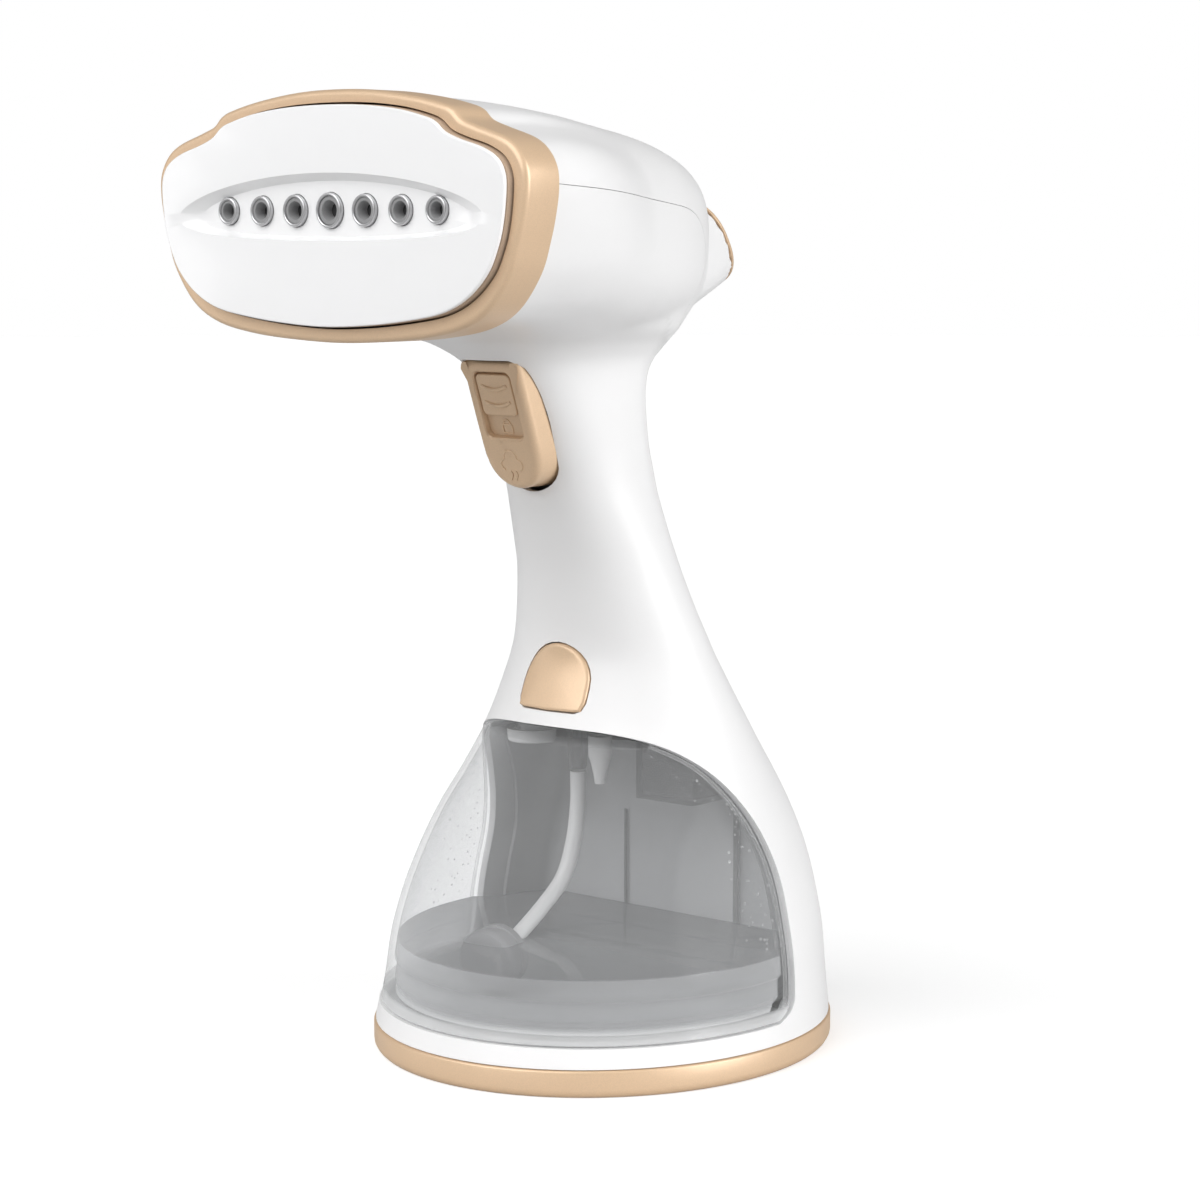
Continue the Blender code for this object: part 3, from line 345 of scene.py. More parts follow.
def circuit_board():
    """Green solder mask over copper tracks, with tinned pads."""
    f = Finish("circuit_board", 0.35)
    track = f.node("ShaderNodeTexBrick", {"Vector": f.place, "Scale": 420.0, "Mortar Size": 0.06}, out="Fac",
                   offset=0.37)
    pad = f.cells(2.1) < 0.2
    board = f.mixed(track, (0.015, 0.12, 0.045), (0.05, 0.26, 0.09))
    return f.done(Base_Color=f.mixed(pad, board, (0.6, 0.6, 0.57)), Metallic=pad * 0.9,
                  Roughness=0.42 - pad * 0.15, Normal=f.bump(track + pad, 0.05))


def lit_lamp():
    """Frosted pilot lamp with a faint cool glow."""
    f = Finish("lit_lamp", 0.3, **{"Emission Strength": 0.35})
    cloud = f.noise(0.6, 2)
    return f.done(Base_Color=f.mixed(cloud, (0.72, 0.82, 0.9), (0.9, 0.95, 1.0)),
                  Roughness=0.25 + cloud * 0.2,
                  Emission_Color=f.mixed(cloud, (0.5, 0.75, 1.0), (0.8, 0.92, 1.0)))


def clear_shell():
    """Clear tank wall: nearly invisible face on, bright where it turns away."""
    f = Finish("clear_shell", 0.1, **{"Specular IOR Level": 0.4})
    swirl, dust = f.noise(21.0, 3), f.noise(0.7, 3)
    f.done(Base_Color=f.mixed(swirl, (0.80, 0.81, 0.815), (0.93, 0.935, 0.94)),
           Roughness=0.1 + swirl * 0.05 + dust * 0.03, Normal=f.bump(swirl, 0.25, 0.25))
    edge = f.node("ShaderNodeLayerWeight", {"Blend": 0.32}, out="Facing")
    foot = f.ramp(f.axis("Z") / 100, (0.165, (1, 1, 1)), (0.18, (0, 0, 0)))
    return f.seen_through(0.07 + edge ** 2.2 * 0.55 + dust * 0.02 + foot * 0.4, (0.955, 0.957, 0.96))


def still_water():
    """The body of the water is painted pale, as if lit through; a dark band along its surface is a painted
    reflection of the dark bay behind it.
    """
    f = Finish("still_water", 0.03, **{"Specular IOR Level": 0.5})
    ripple = f.noise(30.0, 2)
    # painted reflection: a dark band along the water's surface
    surface = f.ramp(f.axis("Z") / 100, ((WATER_LEVEL - 0.35) / 100, (0, 0, 0)),
                     ((WATER_LEVEL - 0.2) / 100, (1, 1, 1)))
    # painted light: the pale tone of the water's body, as if lit through
    body = f.mixed(ripple, (0.72, 0.725, 0.73), (0.80, 0.805, 0.81))
    f.done(Base_Color=f.mixed(surface, body, (0.26, 0.262, 0.265)), Roughness=0.03 + ripple * 0.03,
           Normal=f.bump(ripple, 0.6, 0.5))
    edge = f.node("ShaderNodeLayerWeight", {"Blend": 0.35}, out="Facing")
    return f.seen_through(0.34 + edge ** 1.5 * 0.35, (0.93, 0.935, 0.94))


def drops_and_edge_highlight():
    """Small water drops, and the painted highlight lines along the tank's front edges: clear face on, white
    where they turn away.
    """
    f = Finish("drops_and_edge_highlight", 0.04, **{"Specular IOR Level": 0.7})
    swirl = f.noise(0.8, 1)
    f.done(Base_Color=f.mixed(swirl, (0.85, 0.86, 0.87), (1.0, 1.0, 1.0)), Roughness=0.03 + swirl * 0.04)
    edge = f.node("ShaderNodeLayerWeight", {"Blend": 0.4}, out="Facing")
    return f.seen_through(0.12 + edge ** 1.6 * 0.7)


def bore_painted_shade():
    """Painted shade: a near-black plug for the unlit inside of a steam outlet."""
    f = Finish("bore_painted_shade", 0.6, 0.4)
    mottle = f.noise(0.7, 3)
    return f.done(Base_Color=f.mixed(mottle, (0.02, 0.02, 0.022), (0.07, 0.07, 0.072)),
                  Roughness=0.5 + mottle * 0.2, Normal=f.bump(mottle, 0.02))


FINISHES = {
    "white_plastic": satin_white(), "gold_plastic": champagne_paint(), "panel": gloss_white(),
    "insulator": tan_resin(), "chrome": turned_metal("satin_chrome", (0.62, 0.62, 0.63), 0.32),
    "clear_plastic": clear_shell(), "grey_plastic": moulded("grey_plastic_grain", (0.27, 0.27, 0.275), 0.5),
    "black_plastic": moulded("black_plastic_grain", (0.03, 0.03, 0.033), 0.48),
    "silicone": moulded("milky_silicone", (0.68, 0.68, 0.68), 0.42, 0.8, 0.05, 0.01),
    "rubber": moulded("foot_rubber", (0.05, 0.05, 0.052), 0.78, 0.4, 0.2, 0.05),
    "aluminium": cast_aluminium(), "steel": turned_metal("ground_steel", (0.55, 0.55, 0.56), 0.3, 0.2),
    "copper": copper_winding(), "board": circuit_board(), "lamp": lit_lamp()}
WATER, BEADS_AND_EDGE_HIGHLIGHT, BORE_SHADE = still_water(), drops_and_edge_highlight(), bore_painted_shade()
GREY_SLEEVE = moulded("grey_sleeve", (0.30, 0.30, 0.305), 0.34, 0.3)
LINER = moulded("liner_grey", (0.72, 0.72, 0.725), 0.45, 0.6, 0.05)
# a darker copy of the gold paint for the floor of the trigger's recess: painted shade
RECESS_GOLD_SHADED = champagne_paint("champagne_recess_shaded", 0.9)


def dress_frame():
    """Gives every node that stays the finish of its slot."""
    for part in frame["record"]["subparts"]:
        paint(frame["nodes"][part["node"]], FINISHES[part["material_slot"]])


def paint(obj, *materials):
    """Gives the object these materials only."""
    obj.data.materials.clear()
    for material in materials:
        obj.data.materials.append(material)
    return obj


# ---- meshes ---------------------------------------------------------------------------------
def mesh_object(name, points, faces, material=None, smooth=34):
    """A shown mesh from points in millimetres."""
    mesh = bpy.data.meshes.new(name)
    mesh.from_pydata((np.asarray(points, float) * MM).tolist(), [], [list(map(int, f)) for f in faces])
    mesh.validate()
    bm = bmesh.new()
    bm.from_mesh(mesh)
    bmesh.ops.recalc_face_normals(bm, faces=bm.faces)
    bm.to_mesh(mesh)
    bm.free()
    mesh.shade_smooth()
    mesh.set_sharp_from_angle(angle=math.radians(smooth))
    obj = bpy.data.objects.new(name, mesh)
    bpy.context.scene.collection.objects.link(obj)
    if material:
        paint(obj, material)
    return obj


def baked(obj):
    """Keeps what the object's modifiers or nodes make as its plain mesh."""
    bpy.context.view_layer.update()
    made = bpy.data.meshes.new_from_object(obj.evaluated_get(bpy.context.evaluated_depsgraph_get()))
    obj.modifiers.clear()
    obj.data = made
    return obj


def boolean(obj, tool, how="DIFFERENCE"):
    """Cuts, joins or limits the object by a tool, which is used up."""
    step = obj.modifiers.new(how, "BOOLEAN")
    step.operation, step.solver, step.object = how, "MANIFOLD", tool
    baked(obj)
    bpy.data.objects.remove(tool, do_unlink=True)
    return obj


def twin(obj, name):
    """A separate copy of the object."""
    copy = bpy.data.objects.new(name, obj.data.copy())
    bpy.context.scene.collection.objects.link(copy)
    return copy


def beveled(obj, width, segments=2, angle=40):
    """Rounds the object's edges."""
    step = obj.modifiers.new("soft_edge", "BEVEL")
    step.width, step.segments = width * MM, segments
    step.limit_method, step.angle_limit = "ANGLE", math.radians(angle)
    baked(obj)
    obj.data.shade_smooth()
    obj.data.set_sharp_from_angle(angle=math.radians(angle))
    return obj


def skin(name, rings, material=None, loop=False, smooth=34):
    """Joins rings that have the same number of points; the ends are capped unless the rings form a loop."""
    rings = [np.asarray(r, float) for r in rings]
    count, rows = len(rings[0]), len(rings)
    faces = []
    for k in range(rows if loop else rows - 1):
        a, b = k * count, (k + 1) % rows * count
        faces += [(a + i, a + (i + 1) % count, b + (i + 1) % count, b + i) for i in range(count)]
    points = np.concatenate(rings)
    if not loop:
        for start in (0, (rows - 1) * count):
            points = np.concatenate([points, points[start:start + count].mean(0, keepdims=True)])
            faces += [(start + i, start + (i + 1) % count, len(points) - 1) for i in range(count)]
    return mesh_object(name, points, faces, material, smooth)


def turned(name, profile, base, along, material=None, sides=64, smooth=34):
    """A closed ring of (radius, distance along the axis) points, turned about the axis."""
    base, along = np.asarray(base, float), np.asarray(Vector(along).normalized())
    side = np.asarray(Vector(along).orthogonal().normalized())
    other = np.cross(along, side)
    rings = []
    for radius, reach in profile:
        angles = np.arange(sides) * 2 * math.pi / sides
        circle = np.cos(angles)[:, None] * side + np.sin(angles)[:, None] * other
        rings.append(base + along * reach + circle * radius)
    return skin(name, rings, material, loop=True, smooth=smooth)


def slab(name, outline, low, high, facing):
    """An outline in the plane across the facing axis, extruded from low to high: a cutter."""
    order = {"X": lambda u, v, w: (w, u, v), "Y": lambda u, v, w: (u, w, v),
             "Z": lambda u, v, w: (u, v, w)}[facing]
    return skin(name, [[order(u, v, w) for u, v in outline] for w in (low, high)])


def rounded(spans, steps):
    """Points of a smooth curve: each span runs from its second point to its third."""
    out = []
    for a, b, c, d in spans:
        for t in np.arange(steps) / steps:
            out.append(0.5 * (2 * b + (c - a) * t + (2 * a - 5 * b + 4 * c - d) * t * t
                              + (3 * b - a - 3 * c + d) * t ** 3))
    return out


def smooth_loop(outline, steps=6):
    """A closed curve through an outline's points."""
    path = np.asarray(outline, float)
    return np.array(rounded(zip(*(np.roll(path, shift, 0) for shift in (1, 0, -1, -2))), steps))


def smooth_line(points, steps=8):
    """An open curve through its points."""
    path = np.asarray(points, float)
    path = np.vstack([2 * path[0] - path[1], path, 2 * path[-1] - path[-2]])
    return np.array(rounded(zip(path, path[1:], path[2:], path[3:]), steps) + [path[-2]])


def mirrored(half):
    """A whole outline from its right half, which runs from top to bottom."""
    return list(half) + [(-u, v) for u, v in half[-2:0:-1]]


def inset(outline, amount):
    """The outline moved inwards by amount."""
    path = np.asarray(outline, float)
    along = np.roll(path, -1, 0) - np.roll(path, 1, 0)
    along /= np.linalg.norm(along, axis=1, keepdims=True)
    inward = np.stack([along[:, 1], -along[:, 0]], 1)
    area = np.sum(path[:, 0] * np.roll(path[:, 1], -1) - path[:, 1] * np.roll(path[:, 0], -1))
    return path + inward * (-amount if area > 0 else amount)


def pillow(name, outline, lift, depth, radius, material, crown=0.0, steps=6, rows=8):
    """A cap with rounded edges: lift turns (u, v, height) points, face at height 0, into places."""
    flat = lambda path, height: np.column_stack([path, np.full(len(path), float(height))])
    rings = [flat(outline, -depth), flat(outline, -radius)]
    for k in range(1, steps + 1):
        angle = math.pi / 2 * k / steps
        rings.append(flat(inset(outline, radius * (1 - math.cos(angle))), radius * (math.sin(angle) - 1)))
    rim, middle = rings[-1][:, :2], np.mean(outline, axis=0)
    for k in range(1, rows):
        share = 1 - k / rows
        rings.append(flat(middle + (rim - middle) * share, crown * (1 - share * share)))
    return skin(name, [lift(r) for r in rings], material)


def tube(name, points, radius, material=None, sides=16, closed=False):
    """A round tube along points, as a mesh."""
    curve = bpy.data.curves.new(name, "CURVE")
    curve.dimensions, curve.bevel_depth, curve.bevel_resolution = "3D", radius * MM, sides // 4
    curve.use_fill_caps = True
    spline = curve.splines.new("POLY")
    spline.points.add(len(points) - 1)
    for slot, point in zip(spline.points, points):
        slot.co = (*(Vector(point) * MM), 1.0)
    spline.use_cyclic_u = closed
    holder = bpy.data.objects.new(name, curve)
    bpy.context.scene.collection.objects.link(holder)
    bpy.context.view_layer.update()
    mesh = bpy.data.meshes.new_from_object(holder.evaluated_get(bpy.context.evaluated_depsgraph_get()))
    bpy.data.objects.remove(holder, do_unlink=True)
    bm = bmesh.new()
    bm.from_mesh(mesh)
    bmesh.ops.remove_doubles(bm, verts=bm.verts, dist=1e-6)
    bmesh.ops.recalc_face_normals(bm, faces=bm.faces)
    bm.to_mesh(mesh)
    bm.free()
    mesh.shade_smooth()
    mesh.set_sharp_from_angle(angle=math.radians(50))
    obj = bpy.data.objects.new(name, mesh)
    bpy.context.scene.collection.objects.link(obj)
    return paint(obj, material) if material else obj


def joined(name, *objs):
    """One piece from several, with each one's finish."""
    with bpy.context.temp_override(active_object=objs[0], object=objs[0], selected_objects=list(objs),
                                   selected_editable_objects=list(objs)):
        bpy.ops.object.join()
    objs[0].name = name
    return objs[0]


# ---- the moulded form as a field -----------------------------------------------------------
def smooth_table(rows):
    """A curve through each column of a table, with no overshoot; the first column is the place."""
    rows = np.array(rows, float)
    place, value = rows[:, 0], rows[:, 1:]
    width = np.diff(place)[:, None]
    slope = np.diff(value, axis=0) / width
    tangent = np.vstack([slope[:1], np.zeros_like(value[2:]), slope[-1:]])
    rising = slope[:-1] * slope[1:] > 0
    with np.errstate(divide="ignore", invalid="ignore"):
        tangent[1:-1] = np.where(rising, 2 / (1 / slope[:-1] + 1 / slope[1:]), 0)

    def at(x):
        x = np.clip(x, place[0], place[-1])
        k = np.clip(np.searchsorted(place, x, side="right") - 1, 0, len(place) - 2)
        h = width[k]
        t = (x - place[k])[..., None] / h
        out = ((1 + 2 * t) * (1 - t) ** 2 * value[k] + t * (1 - t) ** 2 * h * tangent[k]
               + t * t * (3 - 2 * t) * value[k + 1] + t * t * (t - 1) * h * tangent[k + 1])
        return np.moveaxis(out, -1, 0)

    return at


BODY_AT, HEAD_AT = smooth_table(BODY), smooth_table(HEAD)
LEAN = np.array([0, math.cos(HUMP_LEAN), math.sin(HUMP_LEAN)])
UPRIGHT = np.array([0, -math.sin(HUMP_LEAN), math.cos(HUMP_LEAN)])
HUMP_ORIGIN = np.array([0, HUMP[0][0], HUMP[0][1]])
HUMP_ROWS = []
for row_depth, row_height, row_half, row_tall in HUMP:
    offset = np.array([0, row_depth, row_height]) - HUMP_ORIGIN
    HUMP_ROWS.append((offset @ LEAN, offset @ UPRIGHT, row_half, row_tall))
HUMP_AT = smooth_table(HUMP_ROWS)
HUMP_FACE = np.array([0, HUMP[-1][0], HUMP[-1][1]])


def from_middle(reach, squareness):
    """Distance along the ray from a section's middle to its rim; squareness is 1 on the rim."""
    safe = np.maximum(squareness, 1e-4)
    return reach * (1 - 1 / safe)


HANDLE_END = 220.0          # inside the head


def body_field(p):
    """Bell and handle; the front of the handle is a little squarer than its back."""
    x, y, z = p.T
    centre, half, front, back = BODY_AT(z)
    ahead = y < centre
    depth = np.where(ahead, front, back)
    power = np.where(ahead, 2 / (1 - 0.22 * np.clip((z - 140) / 40, 0, 1)), 2.0)
    rim = (np.abs(x / half) ** power + np.abs((y - centre) / depth) ** power) ** (1 / power)
    return np.maximum(from_middle(np.hypot(x, y - centre), rim), z - HANDLE_END)


def polar(outline, angles):
    """Distance from the head's middle to an outline, in each direction."""
    path = np.asarray(outline) - (0, HEAD_MID_Z)
    dense = np.concatenate([a + (b - a) * np.linspace(0, 1, 8, endpoint=False)[:, None]
                            for a, b in zip(path, np.roll(path, -1, 0))])
    turn, reach = np.arctan2(dense[:, 1], dense[:, 0]), np.hypot(*dense.T)
    order = np.argsort(turn)
    return np.interp(angles, turn[order], reach[order], period=2 * math.pi)


HEAD_DEPTHS = np.arange(HEAD_FRONT - 8, HEAD_END + 3, 1.0)
HEAD_ANGLES = np.linspace(-math.pi, math.pi, 481)
BLEND_LENGTH = 60.0


def head_table():
    """The head's reach at each depth and direction: the bezel's outline turns into a soft oval."""
    face = polar(smooth_loop(mirrored(BEZEL_HALF)), HEAD_ANGLES) * 0.972
    rows = []
    for depth in HEAD_DEPTHS:
        half, top, bottom = HEAD_AT(np.array(depth))
        c, s = np.cos(HEAD_ANGLES), np.sin(HEAD_ANGLES)
        middle, tall = (top + bottom) / 2, (top - bottom) / 2
        soft = polar(np.column_stack([half * np.sign(c) * np.abs(c) ** 0.8,
                                      middle + tall * np.sign(s) * np.abs(s) ** 0.8]), HEAD_ANGLES)
        share = min(1.0, max(0.0, (depth - HEAD_FRONT) / BLEND_LENGTH))
        share = share * share * (3 - 2 * share)
        rows.append(face * (1 - share) + soft * share)
    return np.array(rows)


HEAD_TABLE = head_table()


def head_field(p):
    """Steam head: its table of reaches, by depth and direction."""
    x, y, z = p.T
    row = np.clip(y - HEAD_DEPTHS[0], 0, len(HEAD_DEPTHS) - 1.001)
    column = (np.arctan2(z - HEAD_MID_Z, x) + math.pi) / (2 * math.pi) * (len(HEAD_ANGLES) - 1)
    column = np.clip(column, 0, len(HEAD_ANGLES) - 1.001)
    i, j = row.astype(int), column.astype(int)
    s, t = row - i, column - j
    rim = ((HEAD_TABLE[i, j] * (1 - t) + HEAD_TABLE[i, j + 1] * t) * (1 - s)
           + (HEAD_TABLE[i + 1, j] * (1 - t) + HEAD_TABLE[i + 1, j + 1] * t) * s)
    return np.maximum(np.hypot(x, z - HEAD_MID_Z) - rim, y - HEAD_END)


def hump_field(p):
    """Rear hump: oval sections along its leaning axis."""
    from_origin = p - HUMP_ORIGIN
    along = from_origin @ LEAN
    rise, half, tall = HUMP_AT(along)
    u, v = from_origin[:, 0], from_origin @ UPRIGHT - rise
    rim = (np.abs(u / half) ** 2.5 + np.abs(v / tall) ** 2.5) ** 0.4
    return np.maximum(np.maximum(from_middle(np.hypot(u, v), rim), along - HUMP_ROWS[-1][0]), -12 - along)


def merged(a, b, width):
    """The union of two fields with a soft fillet."""
    near = np.maximum(width - np.abs(a - b), 0) / width
    return np.minimum(a, b) - near * near * width / 4


NECK_FILLET, HUMP_FILLET = 9.0, 8.0


def form(p):
    """Bell, handle, head and rear hump: below zero inside."""
    return merged(merged(body_field(p), head_field(p), NECK_FILLET), hump_field(p), HUMP_FILLET)


def gradient(field, points, reach=0.05):
    """The field's slope, from a step of reach to each side."""
    out = np.empty_like(points)
    for axis in range(3):
        step = np.zeros(3)
        step[axis] = reach
        out[:, axis] = (field(points + step) - field(points - step)) / (2 * reach)
    return out


def settled(points, field, rounds=5, most=0.8):
    """Points moved onto the surface where field is zero."""
    for _ in range(rounds):
        slope = gradient(field, points)
        steep = np.maximum((slope ** 2).sum(1, keepdims=True), 0.1)
        points = points - np.clip(field(points)[:, None] * slope / steep, -most, most)
    return points


def surface(name, field, low, high, step):
    """A closed quad skin of the surface where field is zero, by surface nets."""
    axes = [np.arange(a, b + step, step) for a, b in zip(low, high)]
    grid = np.stack(np.meshgrid(*axes, indexing="ij"), -1)
    value = field(grid.reshape(-1, 3)).reshape(grid.shape[:3])
    for axis, end in itertools.product(range(3), (0, -1)):
        rim = [slice(None)] * 3
        rim[axis] = end
        value[tuple(rim)] = np.maximum(value[tuple(rim)], step / 2)
    cells = tuple(n - 1 for n in value.shape)
    total, count = np.zeros(cells + (3,)), np.zeros(cells)
    crossings = []
    for axis in range(3):
        others = [a for a in range(3) if a != axis]
        first, second = [slice(None)] * 3, [slice(None)] * 3
        first[axis], second[axis] = slice(None, -1), slice(1, None)
        a, b = value[tuple(first)], value[tuple(second)]
        crossed = (a < 0) != (b < 0)
        crossings.append(crossed)
        point = grid[tuple(first)].copy()
        point[..., axis] += np.where(crossed, a / np.where(crossed, a - b, 1), 0) * step
        for shift in itertools.product((0, 1), repeat=2):
            window = [slice(None)] * 3
            for other, offset in zip(others, shift):
                window[other] = slice(offset, offset + cells[other])
            count += crossed[tuple(window)]
            total += point[tuple(window)] * crossed[tuple(window)][..., None]
    used = count > 0
    index = np.full(cells, -1)
    index[used] = np.arange(used.sum())
    points = total[used] / count[used][:, None]
    faces = []
    for axis, crossed in enumerate(crossings):
        others = [a for a in range(3) if a != axis]
        inner = [slice(None)] * 3
        for other in others:
            inner[other] = slice(1, -1)
        base = np.argwhere(crossed[tuple(inner)])
        base[:, others] += 1
        corners = []
        for offset in ((-1, -1), (0, -1), (0, 0), (-1, 0)):
            cell = base.copy()
            cell[:, others] += offset
            corners.append(index[tuple(cell.T)])
        quads = np.stack(corners, 1)
        outward = (value[tuple(base.T)] < 0) != (axis == 1)
        quads[~outward] = quads[~outward][:, ::-1]
        faces.append(quads)
    near = np.abs(field(points)) < step
    points[near] = settled(points[near], field)
    return mesh_object(name, points, np.concatenate(faces), smooth=40)


def true_normals(obj, field, values, tolerance=0.06, agree=0.6):
    """Shades the faces where the field has one of these values by its slope, so that cuts leave no marks."""
    mesh = obj.data
    co = np.empty(len(mesh.vertices) * 3)
    mesh.vertices.foreach_get("co", co)
    co = co.reshape(-1, 3) / MM
    value, slope = field(co), gradient(field, co)
    slope /= np.maximum(np.linalg.norm(slope, axis=1, keepdims=True), 1e-9)
    nearest = np.abs(value[:, None] - np.array(values)[None, :])
    flip = np.where(nearest.argmin(1) == 0, 1.0, -1.0)
    slope *= flip[:, None]
    on = nearest.min(1) < tolerance
    faces = len(mesh.polygons)
    flat, totals = np.empty(faces * 3), np.empty(faces, int)
    mesh.polygons.foreach_get("normal", flat)
    mesh.polygons.foreach_get("loop_total", totals)
    corner_vertex = np.empty(len(mesh.loops), int)
    mesh.loops.foreach_get("vertex_index", corner_vertex)
    flat = np.repeat(flat.reshape(-1, 3), totals, axis=0)
    curved = slope[corner_vertex]
    use = on[corner_vertex] & ((flat * curved).sum(1) > agree)
    mesh.normals_split_custom_set(np.where(use[:, None], curved, flat).tolist())
    return obj


# ---- casing -----------------------------------------------------------------------------------
def arch(half_width, bottom, top, corner=3.0, steps=14):
    """An outline with a rounded top and small bottom corners, seen from the front."""
    rise = min(top - bottom, half_width)
    points = [(-half_width + corner * 0.3, bottom + corner * 0.3), (-half_width + corner, bottom),
              (half_width - corner, bottom), (half_width - corner * 0.3, bottom + corner * 0.3),
              (half_width, bottom + corner)]
    for k in range(steps + 1):
        angle = math.pi * k / steps
        points.append((half_width * math.cos(angle), top - rise + rise * math.sin(angle)))
    return points + [(-half_width, bottom + corner)]


def trigger_outline(grow=0.0):
    """Seen from the front: depth-free (across, height) points."""
    half, top, bottom = 10.6 + grow, 199.0 + grow, 162.2 - grow
    lower = [(half * 0.92 * math.cos(a), bottom + 8.5 + 8.5 * math.sin(a))
             for a in [math.pi * (1 + k / 16) for k in range(17)]]
    return lower + [(half, 182), (half, top - 2.0), (half - 2.0, top), (-half + 2.0, top), (-half, top - 2.0),
                    (-half, 182)]


def rod(name, start, end, radius, material=None, sides=48):
    """A plain cylinder between two points."""
    start, end = np.asarray(start, float), np.asarray(end, float)
    along = (end - start) / np.linalg.norm(end - start)
    side = np.asarray(Vector(along).orthogonal().normalized())
    other = np.cross(along, side)
    angles = np.arange(sides) * 2 * math.pi / sides
    circle = (np.cos(angles)[:, None] * side + np.sin(angles)[:, None] * other) * radius
    return skin(name, [start + circle, end + circle], material)


FAR_FRONT, FAR_BACK, FAR_TOP, FAR_SIDE = -120, 90, 290, 90      # outside the object: for cutters
GLAND_RADIUS, GLAND_HOLE_RADIUS, REAR_HOLE_RADIUS = 7.2, 5.2, 12.5


def across(name, outline):
    """A cutter with a (depth, height) outline, as wide as the whole object."""
    return slab(name, outline, -FAR_SIDE, FAR_SIDE, "X")


def make_casing():
    """The white shells: one moulded form, parted along the seams and opened for what shows."""
    outer = surface("outer_form", form, (-70, -100, 4), (70, 74, 276), SKIN_STEP)
    inner = surface("inner_form", lambda p: form(p) + WALL, (-70, -104, 6), (70, 70, 274), SKIN_STEP * 1.25)
    for skin_form, front, foot in ((outer, HEAD_FRONT, HOUSING_FOOT), (inner, FAR_FRONT, FLOOR_TOP)):
        kept = ((front, foot), (FAR_BACK, foot), (FAR_BACK, FAR_TOP), (front, FAR_TOP))
        boolean(skin_form, across("foot_and_face", kept), "INTERSECT")
    shell = boolean(outer, inner)

    seam = smooth_line(COVER_SEAM, 5)
    above = [tuple(p) for p in seam] + [(76, COVER_SEAM[-1][1]), (76, FAR_TOP), (-110, FAR_TOP),
                                        (-110, COVER_SEAM[0][1])]
    below = [(d, z - SEAM) for d, z in above[:len(seam) + 1]] + above[len(seam) + 1:]
    below = [(d - (SEAM if 0 < d < 9 else 0), z) for d, z in below]
    low, high = BACK_COVER_Z
    top = boolean(twin(shell, "top_cover_shell"), across("above", above), "INTERSECT")
    back = boolean(twin(shell, "rear_cover_shell"), slab("wedge", BACK_WEDGE, low, high, "Z"), "INTERSECT")
    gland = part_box("cord_gland")[0].z / MM + GLAND_RADIUS
    boolean(back, rod("gland_hole", (0, 50, gland), (0, FAR_BACK, gland), GLAND_HOLE_RADIUS))
    boolean(top, rod("rear_hole", HUMP_FACE - LEAN * 15, HUMP_FACE + LEAN * 15, REAR_HOLE_RADIUS))

    main = shell
    main.name = "handle_and_bell"
    window = [tuple(p) for p in smooth_line(WINDOW_EDGE, 6)]
    window = [(-90, WINDOW_EDGE[0][1])] + window + [(-90, WINDOW_EDGE[-1][1])]
    boolean(main, across("window", window))
    boolean(main, across("below", below))
    wider = [(u, v - SEAM * 1.4) for u, v in BACK_WEDGE]
    boolean(main, slab("wedge_room", wider, low - SEAM, high + SEAM, "Z"))
    boolean(main, slab("trigger_room", trigger_outline(0.25), -80, -24, "Y"))
    boolean(main, slab("button_room", arch(*BUTTON_ROOM), -40, -10, "Y"))
    for piece, node in ((main, "main_housing"), (top, "head_top_cover"), (back, "back_cover")):
        paint(true_normals(piece, form, (0.0, -WALL)), FINISHES["white_plastic"])
        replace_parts(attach(piece, "housing"), node)


# ---- steam head ---------------------------------------------------------------------------------
def upright(path, depth):
    """(across, height) points stood up at a depth."""
    return np.column_stack([path[:, 0], np.full(len(path), depth), path[:, 1]])


def banded(name, outer, inner, profile, material, smooth=34):
    """A flat ring: profile points are (0 on the outer outline or 1 on the inner one, inset, depth)."""
    rings = [upright(inset((outer, inner)[side], shift), depth) for side, shift, depth in profile]
    return skin(name, rings, material, loop=True, smooth=smooth)


def quarter(steps=5):
    """Angles of a quarter turn."""
    return [math.pi / 2 * k / steps for k in range(steps + 1)]


PANEL_GAP = 0.45                                      # between the bezel and the panel's outline
INSULATOR_BACK, INSULATOR_WIDTH = -99.0, 7.0


def make_bezel():
    """The gold ring round the head and the tan ring just inside it."""
    outer, panel = smooth_loop(mirrored(BEZEL_HALF)), smooth_loop(mirrored(PANEL_HALF))
    soft, edge = 1.7, 0.35          # radii of the ring's outer and inner front edges
    profile = [(0, 0.0, BEZEL_BACK)]
    profile += [(0, soft * (1 - math.cos(a)), BEZEL_FRONT + soft * (1 - math.sin(a))) for a in quarter()]
    profile += [(1, -PANEL_GAP - edge * math.cos(a), BEZEL_FRONT + edge * (1 - math.sin(a)))
                for a in quarter(3)[::-1]]
    profile += [(1, -PANEL_GAP, BEZEL_BACK)]
    piece = banded("gold_bezel", outer, panel, profile, FINISHES["gold_plastic"], 50)
    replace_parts(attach(piece, "housing"), "bezel_ring")
    profile = [(1, 0.1, INSULATOR_BACK), (1, 0.1, INSULATOR_FRONT + 0.3), (1, 0.4, INSULATOR_FRONT),
               (1, INSULATOR_WIDTH, INSULATOR_FRONT), (1, INSULATOR_WIDTH, INSULATOR_BACK)]
    piece = banded("tan_insulator", outer, panel, profile, FINISHES["insulator"], 50)
    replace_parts(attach(piece, "housing"), "insulating_ring")


def lens(half_length, top, bottom, steps=40):
    """A slim outline between two shallow arcs, pointed at its ends."""
    z = NOZZLE_Z - 1.0
    angles = [math.pi * k / steps for k in range(steps + 1)]
    upper = [(half_length * math.cos(a), z + top * math.sin(a) ** 1.3) for a in angles]
    return upper + [(-half_length * math.cos(a), z - bottom * math.sin(a) ** 0.6) for a in angles[1:-1]]


NOZZLES = [f"nozzle_{k}" for k in range(1, 8)]
NOZZLE_PLAY = 0.15


